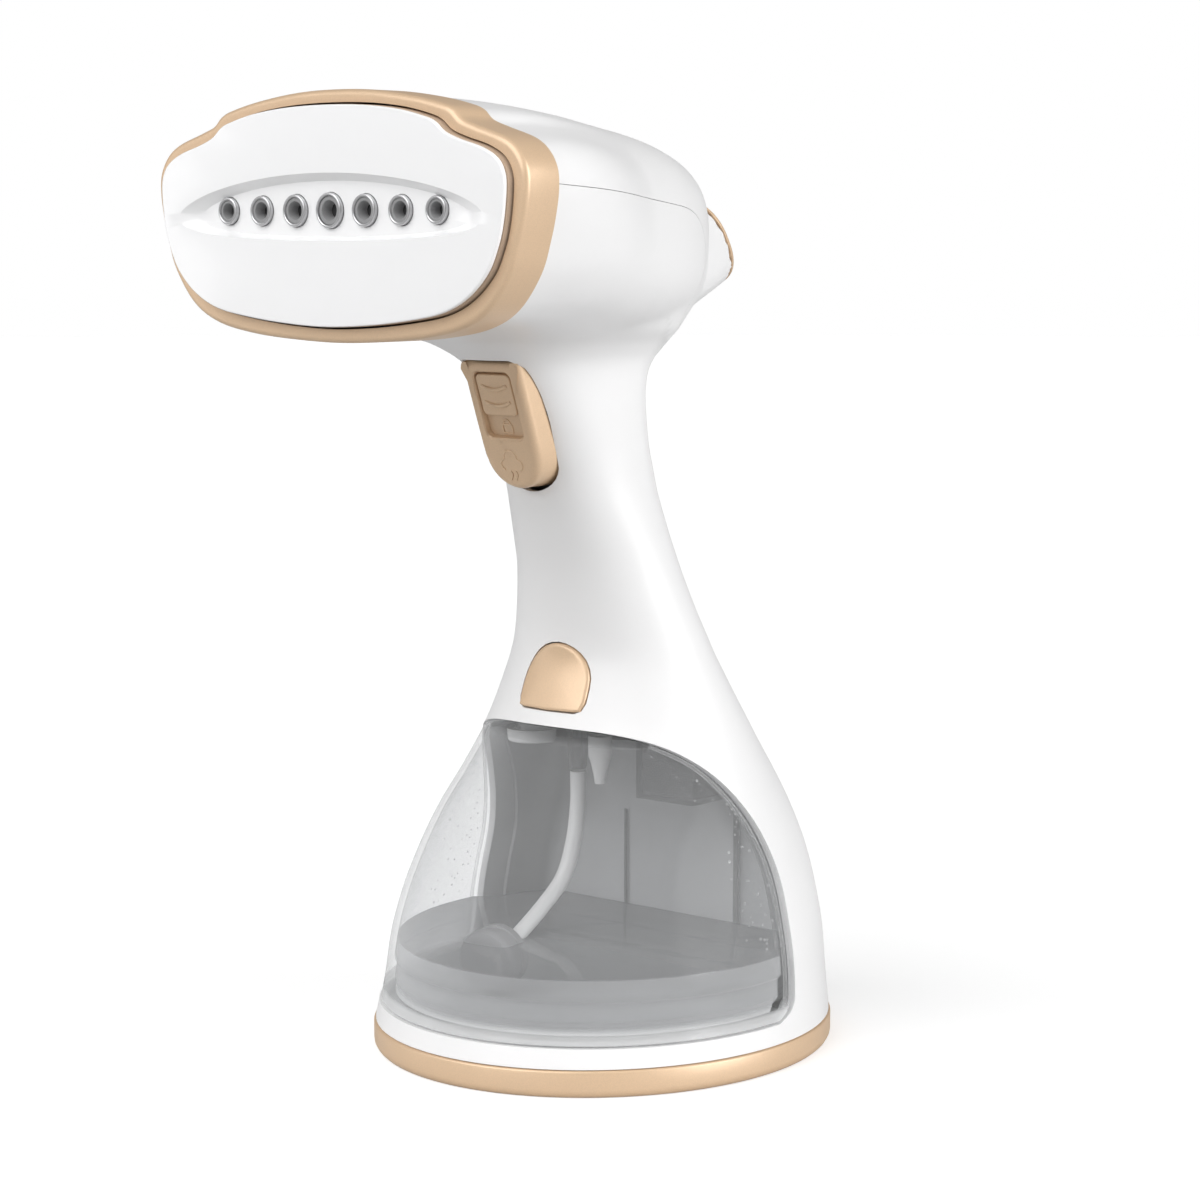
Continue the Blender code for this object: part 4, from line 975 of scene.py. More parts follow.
def make_sole_panel():
    """The white face with its soft rim, its lens-shaped recess and a hole for each nozzle."""
    outline = smooth_loop(mirrored(PANEL_HALF))
    soft = 0.45
    edge = [(0.2 + soft * (1 - math.cos(a)), PANEL_FRONT + soft * (1 - math.sin(a))) for a in quarter(4)]
    face = [upright(inset(outline, shift), depth) for shift, depth in [(0.2, PLATE_BACK)] + edge]
    panel = skin("white_sole_panel", face, smooth=40)
    core = skin("core", [upright(inset(outline, 7.6), depth) for depth in (-110.8, -105.7)])
    boolean(panel, core, "UNION")
    rows = []
    for half, top, bottom, depth in ((55.6, 10.9, 7.1, -0.6), (54.8, 10.6, 6.8, 0.0), (50.0, 9.2, 6.0, 1.9),
                                     (48.4, 8.6, 5.7, RECESS_DEPTH)):
        rows.append([(u, PANEL_FRONT + depth, v) for u, v in lens(half, top, bottom)])
    boolean(panel, skin("recess", rows, smooth=60))
    for node in NOZZLES:
        low, high = (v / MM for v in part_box(node))
        x, radius = (low.x + high.x) / 2, (high.x - low.x) / 2 + NOZZLE_PLAY
        boolean(panel, rod("nozzle_room", (x, FAR_FRONT, NOZZLE_Z), (x, -100, NOZZLE_Z), radius))
    panel.data.shade_smooth()
    panel.data.set_sharp_from_angle(angle=math.radians(28))
    paint(panel, FINISHES["panel"])
    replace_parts(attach(panel, "housing"), "steam_panel")


# ---- node trees for what repeats --------------------------------------------------------------
class Tree:
    """A Geometry Nodes tree in the making, with named inputs."""

    def __init__(self, name, **inputs):
        self.group = bpy.data.node_groups.new(name, "GeometryNodeTree")
        self.group.interface.new_socket("Geometry", in_out="INPUT", socket_type="NodeSocketGeometry")
        self.group.interface.new_socket("Geometry", in_out="OUTPUT", socket_type="NodeSocketGeometry")
        self.names = {}
        for key, kind in inputs.items():
            label = key.replace("_", " ")
            socket = self.group.interface.new_socket(label, in_out="INPUT", socket_type=kind)
            self.names[label] = socket.identifier
        self.source = self.group.nodes.new("NodeGroupInput")
        self.sink = self.group.nodes.new("NodeGroupOutput")

    def __getitem__(self, label):
        return self.source.outputs[label]

    def node(self, kind, inputs=None, out=0, **settings):
        made = self.group.nodes.new(kind)
        for key, value in settings.items():
            setattr(made, key, value)
        for key, value in (inputs or {}).items():
            for one in value if isinstance(value, list) else [value]:
                if isinstance(one, bpy.types.NodeSocket):
                    self.group.links.new(one, made.inputs[key])
                else:
                    made.inputs[key].default_value = one
        return made.outputs[out]

    def finished(self, geometry, material):
        real = self.node("GeometryNodeRealizeInstances", {0: geometry})
        painted = self.node("GeometryNodeSetMaterial", {0: real, "Material": material})
        self.group.links.new(painted, self.sink.inputs[0])
        return self

    def run(self, name, mesh=None, **values):
        """A plain mesh object made by the tree from a mesh, with the inputs set first."""
        obj = bpy.data.objects.new(name, mesh or bpy.data.meshes.new(name))
        bpy.context.scene.collection.objects.link(obj)
        step = obj.modifiers.new("tree", "NODES")
        step.node_group = self.group
        for key, value in values.items():
            step[self.names[key.replace("_", " ")]] = value
        return baked(obj)


def point_mesh(name, points, **attributes):
    """Loose points in millimetres, each with its own values."""
    mesh = bpy.data.meshes.new(name)
    mesh.from_pydata((np.asarray(points, float) * MM).tolist(), [], [])
    for key, values in attributes.items():
        held = mesh.attributes.new(key, "FLOAT", "POINT")
        held.data.foreach_set("value", np.asarray(values, np.float32) * MM)
    return mesh


def repeated_rings(name, material):
    """One round wire ring at each point, sized by the point's reach."""
    tree = Tree(name, Bead="NodeSocketFloat")
    circle = tree.node("GeometryNodeCurvePrimitiveCircle", {"Resolution": 48, "Radius": 1.0})
    reach = tree.node("GeometryNodeInputNamedAttribute", {"Name": "reach"}, data_type="FLOAT")
    face = tree.node("GeometryNodeTransform", {"Geometry": circle, "Rotation": (math.pi / 2, 0, 0)})
    placed = tree.node("GeometryNodeInstanceOnPoints", {
        "Points": tree["Geometry"], "Instance": face, "Scale": reach})
    real = tree.node("GeometryNodeRealizeInstances", {0: placed})
    bead = tree.node("GeometryNodeCurvePrimitiveCircle", {"Resolution": 14, "Radius": tree["Bead"]})
    ring = tree.node("GeometryNodeCurveToMesh", {"Curve": real, "Profile Curve": bead})
    smooth = tree.node("GeometryNodeSetShadeSmooth", {0: ring})
    return tree.finished(smooth, material)


NOZZLE_BORE = 0.42          # of the nozzle's radius
NOZZLE_BEAD = 0.42          # radius of the collar's rounded front edge


def make_nozzles():
    """Seven steam outlets: a rounded chrome collar, a grey sleeve and a near-black disc of painted shade for
    the bore in each.
    """
    boxes = [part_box(node) for node in NOZZLES]
    centres = [((a.x + b.x) / 2 / MM, (b.x - a.x) / 2 / MM) for a, b in boxes]
    front = boxes[0][0].y / MM
    tree = repeated_rings("steam_collars", FINISHES["chrome"])
    mesh = point_mesh("collar_points", [(x, front + NOZZLE_BEAD, NOZZLE_Z) for x, _ in centres],
                      reach=[radius - NOZZLE_BEAD for _, radius in centres])
    parts = [tree.run("collar_beads", mesh, Bead=NOZZLE_BEAD * MM)]
    for x, radius in centres:
        base, seat, bore = (x, front, NOZZLE_Z), radius * 0.82, radius * NOZZLE_BORE
        collar = [(seat, 0.45), (radius - 0.5, 0.3), (radius, 0.6), (radius, 5.4), (seat, 5.4)]
        sleeve = [(seat, 0.9), (radius * 0.79, 0.5), (radius * 0.60, 0.5), (radius * 0.55, 0.75), (bore, 2.8),
                  (bore, 5.2), (seat, 5.2)]
        parts.append(turned("collar", collar, base, (0, 1, 0), FINISHES["chrome"], 48, 40))
        parts.append(turned("sleeve", sleeve, base, (0, 1, 0), GREY_SLEEVE, 48, 30))
        # a near-black disc deep in the nozzle: painted shade for its unlit bore
        parts.append(rod("bore", (x, front + 3.4, NOZZLE_Z), (x, front + 5.2, NOZZLE_Z), bore, BORE_SHADE))
    piece = joined("steam_nozzles", *parts)
    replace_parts(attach(piece, "housing"), *NOZZLES)


def coil(name, start, end, radius, wire, turns):
    """A real coil spring between two points, made by a Geometry Nodes spiral."""
    tree = Tree("coil_spring", Turns="NodeSocketFloat", Radius="NodeSocketFloat", Height="NodeSocketFloat",
                Wire="NodeSocketFloat")
    line = tree.node("GeometryNodeCurveSpiral", {
        "Resolution": 28, "Rotations": tree["Turns"], "Start Radius": tree["Radius"],
        "End Radius": tree["Radius"], "Height": tree["Height"]})
    bead = tree.node("GeometryNodeCurvePrimitiveCircle", {"Resolution": 10, "Radius": tree["Wire"]})
    wound = tree.node("GeometryNodeCurveToMesh", {"Curve": line, "Profile Curve": bead, "Fill Caps": True})
    tree.finished(tree.node("GeometryNodeSetShadeSmooth", {0: wound}), FINISHES["steel"])
    start, end = Vector(start), Vector(end)
    height = (end - start).length - 2 * wire
    made = tree.run(name, Turns=float(turns), Radius=radius * MM, Height=height * MM, Wire=wire * MM)
    turn = Vector((0, 0, 1)).rotation_difference(end - start).to_matrix().to_4x4()
    along = (end - start).normalized() * wire
    made.data.transform(Matrix.Translation((start + along) * MM) @ turn)
    return made


def screws(name, places, length, head, shaft, nodes):
    """Cross-head screws at places, heads down, made once and set out by Geometry Nodes."""
    tree = Tree("foot_screws", Screw="NodeSocketObject")
    info = tree.node("GeometryNodeObjectInfo", {"Object": tree["Screw"]}, out="Geometry")
    tree.finished(tree.node("GeometryNodeInstanceOnPoints", {"Points": tree["Geometry"], "Instance": info}),
                  FINISHES["steel"])
    profile = [(0.01, 0.0), (head * 0.75, 0.05), (head, 0.5), (head, 1.0), (shaft * 1.1, 1.5)]
    thread, pitch = [], 0.7
    for k in range(int((length - 2.4) / pitch)):
        thread += [(shaft * 0.8, 1.7 + pitch * k), (shaft, 2.05 + pitch * k)]
    profile += thread + [(0.01, length)]
    one = turned("one_screw", profile, (0, 0, 0), (0, 0, 1), FINISHES["steel"], 32)
    for turn in (0, math.pi / 2):
        c, s = math.cos(turn), math.sin(turn)
        bar = [(u * c - v * s, u * s + v * c)
               for u, v in ((-1.7, -0.35), (1.7, -0.35), (1.7, 0.35), (-1.7, 0.35))]
        boolean(one, slab("drive", bar, -1, 0.9, "Z"))
    made = tree.run(name, point_mesh(name, places), Screw=one)
    bpy.data.objects.remove(one, do_unlink=True)
    made.data.shade_smooth()
    made.data.set_sharp_from_angle(angle=math.radians(34))
    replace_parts(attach(made, "housing"), *nodes)


# ---- trigger, lock and release button ----------------------------------------------------------
def on_trigger(points):
    """(across, up, outward) points on the trigger's leaning face."""
    p = np.asarray(points, float)
    c, s = math.cos(TRIGGER_TILT), math.sin(TRIGGER_TILT)
    turned_back = [p[:, 0], -p[:, 1] * s - p[:, 2] * c, p[:, 1] * c - p[:, 2] * s]
    return np.array(LOCK_CENTRE) + np.column_stack(turned_back)


def face_wire(name, points, radius, material, closed=False):
    """A raised line on the trigger's face."""
    return tube(name, on_trigger(points), radius, material, sides=8, closed=closed)


def rounded_box(half_width, half_height, corner, steps=6):
    """A rectangle with round corners, clockwise."""
    points = []
    for cx, cy, start in ((1, 1, 90), (1, -1, 0), (-1, -1, -90), (-1, 1, -180)):
        for k in range(steps + 1):
            angle = math.radians(start - 90 * k / steps)
            points.append((cx * (half_width - corner) + corner * math.cos(angle),
                           cy * (half_height - corner) + corner * math.sin(angle)))
    return points


def arc(centre, radius, start, end, height, steps=10):
    """Points of an arc between two angles in degrees, at one height."""
    angles = [math.radians(start + (end - start) * k / steps) for k in range(steps + 1)]
    return [(centre[0] + radius * math.cos(a), centre[1] + radius * math.sin(a), height) for a in angles]


LOCK_RECESS = (6.8, 9.8, 1.9)      # half width, half height, depth
LOCK_UP = 3.0                      # the slider's middle above the recess's middle
LEVER_DEPTH, LEVER_EDGE = 7.2, 2.5        # the lever's own depth, and how far its round edge reaches
SKIRT_TOP, SKIRT_FOOT, SKIRT_EXTRA = -8, -17, 7.5      # heights on the lever, and the depth added
TRIGGER_SPRING_Z = 168


def deeper_below(points):
    """The lever's sides reach further in near its tip, where the handle falls away."""
    p = np.array(points, float)
    share = np.clip((SKIRT_TOP - p[:, 1]) / (SKIRT_TOP - SKIRT_FOOT), 0, 1)
    below_face = np.clip((-LEVER_EDGE - p[:, 2]) / (LEVER_DEPTH - LEVER_EDGE), 0, 1)
    p[:, 2] -= SKIRT_EXTRA * share * share * (3 - 2 * share) * below_face
    p[:, 1] += share * math.tan(TRIGGER_TILT) * np.clip(p[:, 2] + LEVER_EDGE, None, 0)
    return on_trigger(p)


def recess_block(name, rows, material=None):
    """The recess's outline at several (scale, height) levels."""
    outline = rounded_box(*LOCK_RECESS[:2], 2.2)
    return skin(name, [on_trigger([(u * s, v * s, w) for u, v in outline]) for s, w in rows], material)


def make_trigger():
    """The gold lever with its recess and marks, the lock that slides in it, and its return spring."""
    gold = FINISHES["gold_plastic"]
    half, tip, head = 10.4, -25.4, 12.6
    outline = [(half, head - 2), (half, -12)]
    outline += [(half * 0.96 * math.cos(a), tip + 10 + 10 * math.sin(a))
                for a in [-math.pi * k / 20 for k in range(1, 20)]]
    outline += [(-half, -12), (-half, head - 2), (-half + 2, head), (half - 2, head)]
    lever = pillow("trigger_lever", smooth_loop(outline, 3), deeper_below, LEVER_DEPTH, 2.3, gold, 0.25)
    within = [(u, v - 13.6) for u, v in rounded_box(8.6, 7.4, 6.0)]
    boolean(lever, skin("hollow_back", [on_trigger([(u, v, w) for u, v in within]) for w in (-24.0, -6.6)]))
    boolean(lever, recess_block("recess", ((1.06, 1.0), (1.06, 0.2), (1.0, -0.4), (0.98, -LOCK_RECESS[2]))))
    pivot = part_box("trigger_pin")
    y, z = ((a + b) / 2 / MM for a, b in list(zip(*pivot))[1:])
    boolean(lever, rod("pin_room", (-20, y, z), (20, y, z), 1.25))
    lever.data.shade_smooth()
    lever.data.set_sharp_from_angle(angle=math.radians(30))
    paint(lever, gold)

    floor = -LOCK_RECESS[2]
    cloud = arc((-2.1, -17.6), 1.75, 250, 75, 0.2)[:-1] + arc((0, -15.6), 2.3, 160, 20, 0.2) \
        + arc((2.1, -17.6), 1.75, 105, -70, 0.2)[1:]
    vapour = [[(x + 0.45 * math.sin(k * 0.9), -19.4 - k * 0.55, 0.22) for k in range(6)] for x in (-0.9, 0.9)]
    shackle = arc((0, -6.0), 1.2, 180, 0, floor + 0.1)
    body = [(u, v - 7.5, floor + 0.1) for u, v in rounded_box(1.7, 1.3, 0.3, 2)]
    marks = [face_wire("cloud", cloud, 0.26, gold), face_wire("shackle", shackle, 0.26, gold),
             face_wire("lock_body", body, 0.26, gold, closed=True)]
    marks += [face_wire("vapour", path, 0.22, gold) for path in vapour]
    # The recess floor is lined in the darker gold: painted shade.
    liner = recess_block("recess_floor", ((0.97, floor - 0.2), (0.97, floor + 0.06)), RECESS_GOLD_SHADED)
    piece = joined("trigger_lever", lever, liner, *marks)
    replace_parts(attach(piece, "trigger"), "steam_trigger")

    raised = lambda p: on_trigger(np.asarray(p) + (0, LOCK_UP, -0.25))
    tab = pillow("tab", rounded_box(6.25, 6.1, 1.6), raised, 1.1, 0.5, gold, 0.1)
    ridges = []
    half_ridge = 4.6
    for up in (-2.5, 2.3):
        path = [(u, up - 0.6 + 1.2 * (u / half_ridge) ** 2, 0.2 - 0.45 * (abs(u) / half_ridge) ** 4)
                for u in np.linspace(-half_ridge, half_ridge, 15)]
        ridges.append(tube("ridge", raised(path), 0.6, gold, 12))
    piece = joined("lock_tab", tab, *ridges)
    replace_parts(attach(piece, "lock"), "lock_slider")

    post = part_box("spring_post")[0].y / MM
    start, end = (0, -29.2, TRIGGER_SPRING_Z), (0, post - 0.15, TRIGGER_SPRING_Z)
    spring = coil("trigger_coil", start, end, radius=2.2, wire=0.3, turns=5)
    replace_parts(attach(spring, "housing"), "trigger_spring")
    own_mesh(spring)


def make_release_button():
    """The arched button that follows the handle's curve, with its spring."""
    depths = np.linspace(-34, -17, 120)
    column = np.ones(len(depths))

    def front_at(x, z):
        return np.interp(0.0, -body_field(np.column_stack([column * x, depths, column * z])), depths)

    def on_body(points):
        """Follows the handle's outside, standing a little proud of it."""
        p = np.asarray(points, float)
        line = np.array([front_at(x, z) for x, z in p[:, :2]])
        return np.column_stack([p[:, 0], line - 0.7 - p[:, 2], p[:, 1]])

    half, foot, top = BUTTON_ROOM
    outline = arch(half - BUTTON_GAP, foot + BUTTON_GAP, top - BUTTON_GAP, 2.6)
    outline = smooth_loop(outline[::-1], 2)
    key = pillow("release_key", outline, on_body, 3.4, 1.0, FINISHES["gold_plastic"], 0.0, rows=10)
    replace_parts(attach(key, "release"), "release_button")
    low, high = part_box("release_spring")
    x, z = (low.x + high.x) / 2 / MM, (low.z + high.z) / 2 / MM
    start, end = (x, low.y / MM + 0.05, z), (x, high.y / MM, z)
    spring = coil("release_coil", start, end, radius=2.4, wire=0.35, turns=5)
    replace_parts(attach(spring, "housing"), "release_spring")
    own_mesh(spring)


# ---- base -----------------------------------------------------------------------------------------
BAND_WIDTH = 5.9
FOOT_SCREWS = [f"base_screw_{k}" for k in range(1, 5)]


def ellipse(half, deep, z, count=160):
    """A level ring round the bell's middle."""
    angles = [2 * math.pi * i / count for i in range(count)]
    return [(half * math.sin(a), -deep * math.cos(a), z) for a in angles]


def make_base():
    """The gold band round the foot and the screws below it."""
    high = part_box("base_ring")[1]
    half, longer, top = high.x / MM, (high.y - high.x) / MM, high.z / MM
    profile = [(half - 1.9, 0.0), (half - 1.2, 0.15), (half - 0.55, 0.75), (half - 0.1, 1.6), (half, 2.4),
               (half, top - 0.5), (half - 0.15, top - 0.15), (half - 0.5, top), (half - BAND_WIDTH, top),
               (half - BAND_WIDTH, 0.0)]
    rings = [ellipse(r, r + longer, z) for r, z in profile]
    band = skin("base_band", rings, FINISHES["gold_plastic"], loop=True, smooth=50)
    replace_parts(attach(band, "housing"), "base_ring")
    boxes = [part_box(node) for node in FOOT_SCREWS]
    places = [((a.x + b.x) / 2 / MM, (a.y + b.y) / 2 / MM, a.z / MM) for a, b in boxes]
    screws("foot_screws", places, length=8.4, head=3.0, shaft=1.5, nodes=FOOT_SCREWS)


# ---- water tank -----------------------------------------------------------------------------------
def window_reach(z):
    """Half width and depth of the window's opening at a height, where its edge meets the bell."""
    edge = smooth_line(WINDOW_EDGE, 6)
    depth = float(np.interp(z, edge[:, 1], edge[:, 0]))
    centre, half, front, back = BODY_AT(np.array(float(z)))
    reach = (depth - centre) / (front if depth < centre else back)
    return half * math.sqrt(max(0.0, 1 - reach * reach)), depth


TANK_BACK, TANK_CLEARANCE, TANK_SIDE_GAP, TANK_PLAY, LIP_DEPTH = 38.0, 4.6, 3.4, 0.35, 3.0
FRONT_STEPS, REAR_STEPS = 36, 12
WINDOW_GAP = 0.022          # radians between the tank's front wall and the window's edge; wider near the top


def rear_rows(z, shrink, side_gap, lead=0.8):
    """Right side of the box behind the window."""
    width, depth = window_reach(z)
    centre, half, _, back = BODY_AT(np.array(float(z)))
    shoulder = max(1.0, width - side_gap)
    rear = min(TANK_BACK, centre + back - 14) - shrink
    if z > TANK_TOP:
        rear = depth + LIP_DEPTH
    start = depth + lead
    corner = min(5.0, (rear - start) * 0.3)
    rows = []
    for k in range(REAR_STEPS + 1):
        y = start + (rear - corner - start) * k / REAR_STEPS
        reach = (y - centre) / (back - shrink)
        rows.append((min(shoulder, (half - shrink) * math.sqrt(max(0.04, 1 - reach * reach))), y))
    x, y = rows[-1]
    for k in range(1, 6):
        angle = math.pi / 2 * k / 5
        rows.append((x - min(corner, x * 0.8) * (1 - math.cos(angle)), y + corner * math.sin(angle)))
    return rows


def tank_ring(z, shrink):
    """One level of the tank: the bell's curve in front of the window, a narrower box behind it."""
    width, depth = window_reach(z)
    centre, half, front, _ = BODY_AT(np.array(float(z)))
    edge = math.asin(min(1.0, width / half))
    if depth > centre:
        edge = math.pi - edge
    edge -= WINDOW_GAP + 0.05 * max(0.0, (z - 86) / 8) + shrink / (half + 20)
    angles = [edge * i / FRONT_STEPS for i in range(-FRONT_STEPS, FRONT_STEPS + 1)]
    points = [((half - shrink) * math.sin(a), centre - (front - shrink) * math.cos(a), z) for a in angles]
    right = [(x, y, z) for x, y in rear_rows(z, TANK_CLEARANCE + shrink, TANK_SIDE_GAP + shrink)]
    return points + right + [(-x, y, h) for x, y, h in right[::-1]]


def levels(low, high, step):
    """Evenly spaced heights, about a step apart."""
    return list(np.linspace(low, high, max(2, round((high - low) / step) + 1)))


MOULDED_STEPS = ((25.5, 0.0), (25.0, 0.9), (19.6, 0.9), (19.0, 1.8), (0.0, 1.8))   # thicker wall low down


def wall_at(z):
    """The tank wall's thickness at a height."""
    rows = MOULDED_STEPS[::-1]
    return TANK_WALL + float(np.interp(z, [r[0] for r in rows], [r[1] for r in rows]))


def footing(node):
    """The middle of a node's underside."""
    low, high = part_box(node)
    return (low.x + high.x) / 2 / MM, (low.y + high.y) / 2 / MM, low.z / MM


def edge_highlight_line(side, inwards):
    """Follows the front wall's side edge from foot to top, a little way in from it: the path of a painted
    highlight line.
    """
    rows = []
    for z in levels(17, 91, 2.0):
        ring = np.array(tank_ring(z, TANK_PLAY + inwards))
        edge, within = ring[FRONT_STEPS + side * FRONT_STEPS], ring[FRONT_STEPS + side * (FRONT_STEPS - 1)]
        rows.append(edge + (within - edge) / np.linalg.norm(within - edge) * inwards)
    return rows


POCKET, POCKET_WALL = ((9, 4, 71), (30, 30, 90)), 1.2
RIBS = ((24.0, 31.5, 28, 71), (-19.0, 33.0, 28, 60))        # across, depth, foot, top
RIB_HALF, RIB_DEPTH = 0.6, 5


def make_tank():
    """The clear tank with its mouth and port, and the pocket and ribs inside it."""
    clear = FINISHES["clear_plastic"]
    outer_levels = [13.9, 14.2] + levels(15.5, 84, 2.4) + levels(85, TANK_TOP, 0.8) + [92.8, 93.4, 94.0, 94.6]
    tank = skin("clear_tank", [tank_ring(z, TANK_PLAY + (0.4 if z < 14 else 0)) for z in outer_levels])
    inner_levels = [15.9, 18.9, 19.0, 19.6, 24.9, 25.0, 25.5] + levels(27, 84, 2.6) + levels(85, 90.2, 0.9)
    outside = twin(tank, "tank_outside")
    hollow = skin("tank_hollow", [tank_ring(z, TANK_PLAY + wall_at(z)) for z in inner_levels])
    boolean(tank, hollow)
    port = footing("hose_connector")[:2]
    boolean(tank, rod("mouth", (*PLUG_PLACE, 84), (*PLUG_PLACE, 99), MOUTH_RADIUS))
    boolean(tank, rod("port", (*port, 74), (*port, 99), PORT_RADIUS))
    tank.data.shade_smooth()
    tank.data.set_sharp_from_angle(angle=math.radians(32))
    paint(tank, clear)

    inner = [[v + POCKET_WALL for v in POCKET[0]], [v - POCKET_WALL for v in POCKET[1][:2]] + [92]]
    moulded_in = [boolean(box("pocket", *POCKET), box("hollow", *inner))]
    for x, y, low, high in RIBS:
        moulded_in.append(box("rib", (x - RIB_HALF, y, low), (x + RIB_HALF, y + RIB_DEPTH, high)))
    for piece in moulded_in:
        paint(boolean(piece, twin(outside, "limit"), "INTERSECT"), clear)
    bpy.data.objects.remove(outside, do_unlink=True)
    # painted highlight: a bright line inside the wall along each side edge of the tank's front
    rim = [tube("rim", edge_highlight_line(side, 0.9), 0.55, BEADS_AND_EDGE_HIGHLIGHT, sides=12) for side in (-1, 1)]
    tank = joined("clear_tank", tank, *moulded_in, *rim)
    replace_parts(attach(tank, "tank"), "water_tank", "tank_lid")
    make_water()
    make_beads()


def box(name, low, high):
    """A block between two corners."""
    (a, b, c), (d, e, f) = low, high
    return skin(name, [[(a, b, z), (d, b, z), (d, e, z), (a, e, z)] for z in (c, f)])


def make_water():
    """The little water that is left: it stands a hair inside the wall and meets it in a low rim."""
    rings = []
    rows = [16.1] + levels(18, WATER_LEVEL - 0.6, 1.6) + [WATER_LEVEL - 0.3, WATER_LEVEL - 0.08, WATER_LEVEL]
    for z in rows:
        rings.append(tank_ring(z, TANK_PLAY + wall_at(z) + 0.12 + (0.5 if z == WATER_LEVEL else 0)))
    water = skin("tank_water", rings, WATER, smooth=60)
    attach(water, "tank")


def make_beads():
    """Water beads on the tank's wall, thickest along its rim; scattered by Geometry Nodes."""
    tree = Tree("wall_beads", Density="NodeSocketFloat", Smallest="NodeSocketFloat",
                Largest="NodeSocketFloat", Seed="NodeSocketInt")
    spread = tree.node("GeometryNodeDistributePointsOnFaces", {
        "Mesh": tree["Geometry"], "Density": tree["Density"], "Seed": tree["Seed"]})
    drop = tree.node("GeometryNodeMeshIcoSphere", {"Radius": 1.0, "Subdivisions": 2})
    flat = tree.node("GeometryNodeTransform", {"Geometry": drop, "Scale": (1.0, 1.0, 0.42)})
    size = tree.node("FunctionNodeRandomValue", {
        2: tree["Smallest"], 3: tree["Largest"], "Seed": tree["Seed"]}, out=1)
    placed = tree.node("GeometryNodeInstanceOnPoints", {
        "Points": spread, "Instance": flat, "Rotation": spread.node.outputs["Rotation"], "Scale": size})
    tree.finished(tree.node("GeometryNodeSetShadeSmooth", {0: placed}), BEADS_AND_EDGE_HIGHLIGHT)
    rows, faces = [], []
    rim = levels(30, 90, 2.5)
    for side in (-1, 1):
        start = len(rows)
        for z in rim:
            ring = np.array(tank_ring(z, TANK_PLAY + 0.02))
            edge = FRONT_STEPS if side == 1 else -FRONT_STEPS
            for k in (1, 7):
                rows.append(ring[FRONT_STEPS + edge - side * k])
        for i in range(len(rim) - 1):
            a = start + 2 * i
            faces.append((a, a + 1, a + 3, a + 2) if side == -1 else (a + 1, a, a + 2, a + 3))
    holder = mesh_object("bead_ground", rows, faces)
    outward = np.array([p.normal[:] for p in holder.data.polygons])
    centre = np.array([p.center[:] for p in holder.data.polygons])
    middle = (0, 0.006, 0.05)          # of the tank, in metres
    if (outward * (centre - middle)).sum() < 0:
        holder.data.flip_normals()
    beads = tree.run("tank_beads", holder.data, Density=70000.0, Smallest=0.12 * MM, Largest=0.42 * MM,
                     Seed=4)
    bpy.data.objects.remove(holder, do_unlink=True)
    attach(beads, "tank")


def make_tank_fittings():
    """The fill cap, its collar, the air valve, the hose's connector and the filter."""
    silicone, clear = FINISHES["silicone"], FINISHES["clear_plastic"]
    x, y = PLUG_PLACE
    profile = [(0.01, 94.2), (3.4, 94.2), (4.9, 94.05), (5.35, 93.7), (5.35, 93.1), (4.9, 92.85),
               (4.35, 92.8), (4.1, 92.2), (4.3, 91.8), (3.8, 91.2), (3.5, 90.4), (2.9, 89.7), (2.0, 89.3),
               (1.9, 87.8), (0.01, 87.6)]
    cap = turned("cap", profile, (x, y, 0), (0, 0, 1), silicone)
    tab = beveled(box("tab", (x + 4, y - 2.9, 93.35), (x + 9.4, y + 2.9, 94.2)), 0.35)
    cap = joined("fill_cap", cap, paint(tab, silicone))
    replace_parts(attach(cap, "plug"), "fill_plug")

    collar = [(5.2, 86.6), (6.6, 86.6), (7.0, 87.0), (7.3, 90.3), (5.2, 90.3)]
    neck = turned("filler_collar", collar, (x, y, 0), (0, 0, 1), silicone)
    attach(neck, "tank")

    beak = [(0.35, 0.0), (1.3, 0.0), (1.55, 0.25), (1.75, 2.2), (2.9, 7.2), (3.3, 7.8), (3.4, 8.4),
            (3.4, 14.0), (1.4, 14.0), (1.3, 7.0), (0.35, 0.6)]
    valve = turned("duckbill_vent", beak, footing("vent_valve"), (0, 0, 1), silicone, 40)
    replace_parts(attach(valve, "tank"), "vent_valve")

    barb = [(1.4, 0.1), (2.3, 0.1), (2.9, 1.4), (2.45, 1.5), (2.95, 2.9), (2.5, 3.0), (3.1, 4.5),
            (3.15, 14.5), (1.4, 14.5)]
    barb = turned("hose_barb", barb, footing("hose_connector"), (0, 0, 1), clear, 40)
    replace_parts(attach(barb, "tank"), "hose_connector")

    start = Vector(FILTER_START)
    drum = [(0.02, 0.05), (5.6, 0.05), (6.2, 0.5), (8.3, 0.7), (8.9, 1.2), (9.05, 1.9), (9.05, 3.6),
            (8.6, 3.9), (8.6, 4.3), (8.9, 4.6), (9.2, 7.4), (9.3, 8.2), (9.25, 9.2), (8.7, 10.2), (7.6, 10.7),
            (6.0, 10.8), (0.02, 10.8)]
    axis = (Vector(FILTER_END) - start).normalized()
    filter_piece = turned("suction_filter", drum, start, axis, FINISHES["grey_plastic"], 72)
    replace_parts(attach(filter_piece, "tank"), "inlet_filter")
    make_hose()


def make_hose():
    """The soft pick-up hose that hangs from the tank's port to its filter."""
    route = smooth_line(HOSE_ROUTE, 5)
    curve = bpy.data.curves.new("suction_hose", "CURVE")
    curve.dimensions, curve.bevel_depth, curve.bevel_resolution = "3D", HOSE_RADIUS * MM, 5
    curve.use_fill_caps = True
    spline = curve.splines.new("POLY")
    spline.points.add(len(route) - 1)
    for slot, point in zip(spline.points, route):
        slot.co = (*(Vector(point) * MM), 1.0)
    curve.materials.append(FINISHES["silicone"])
    hose = bpy.data.objects.new("suction_hose", curve)
    bpy.context.scene.collection.objects.link(hose)
    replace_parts(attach(hose, "tank"), "pickup_hose")


LINER_LEAD = 7.0          # how far behind the window's edge the wall starts


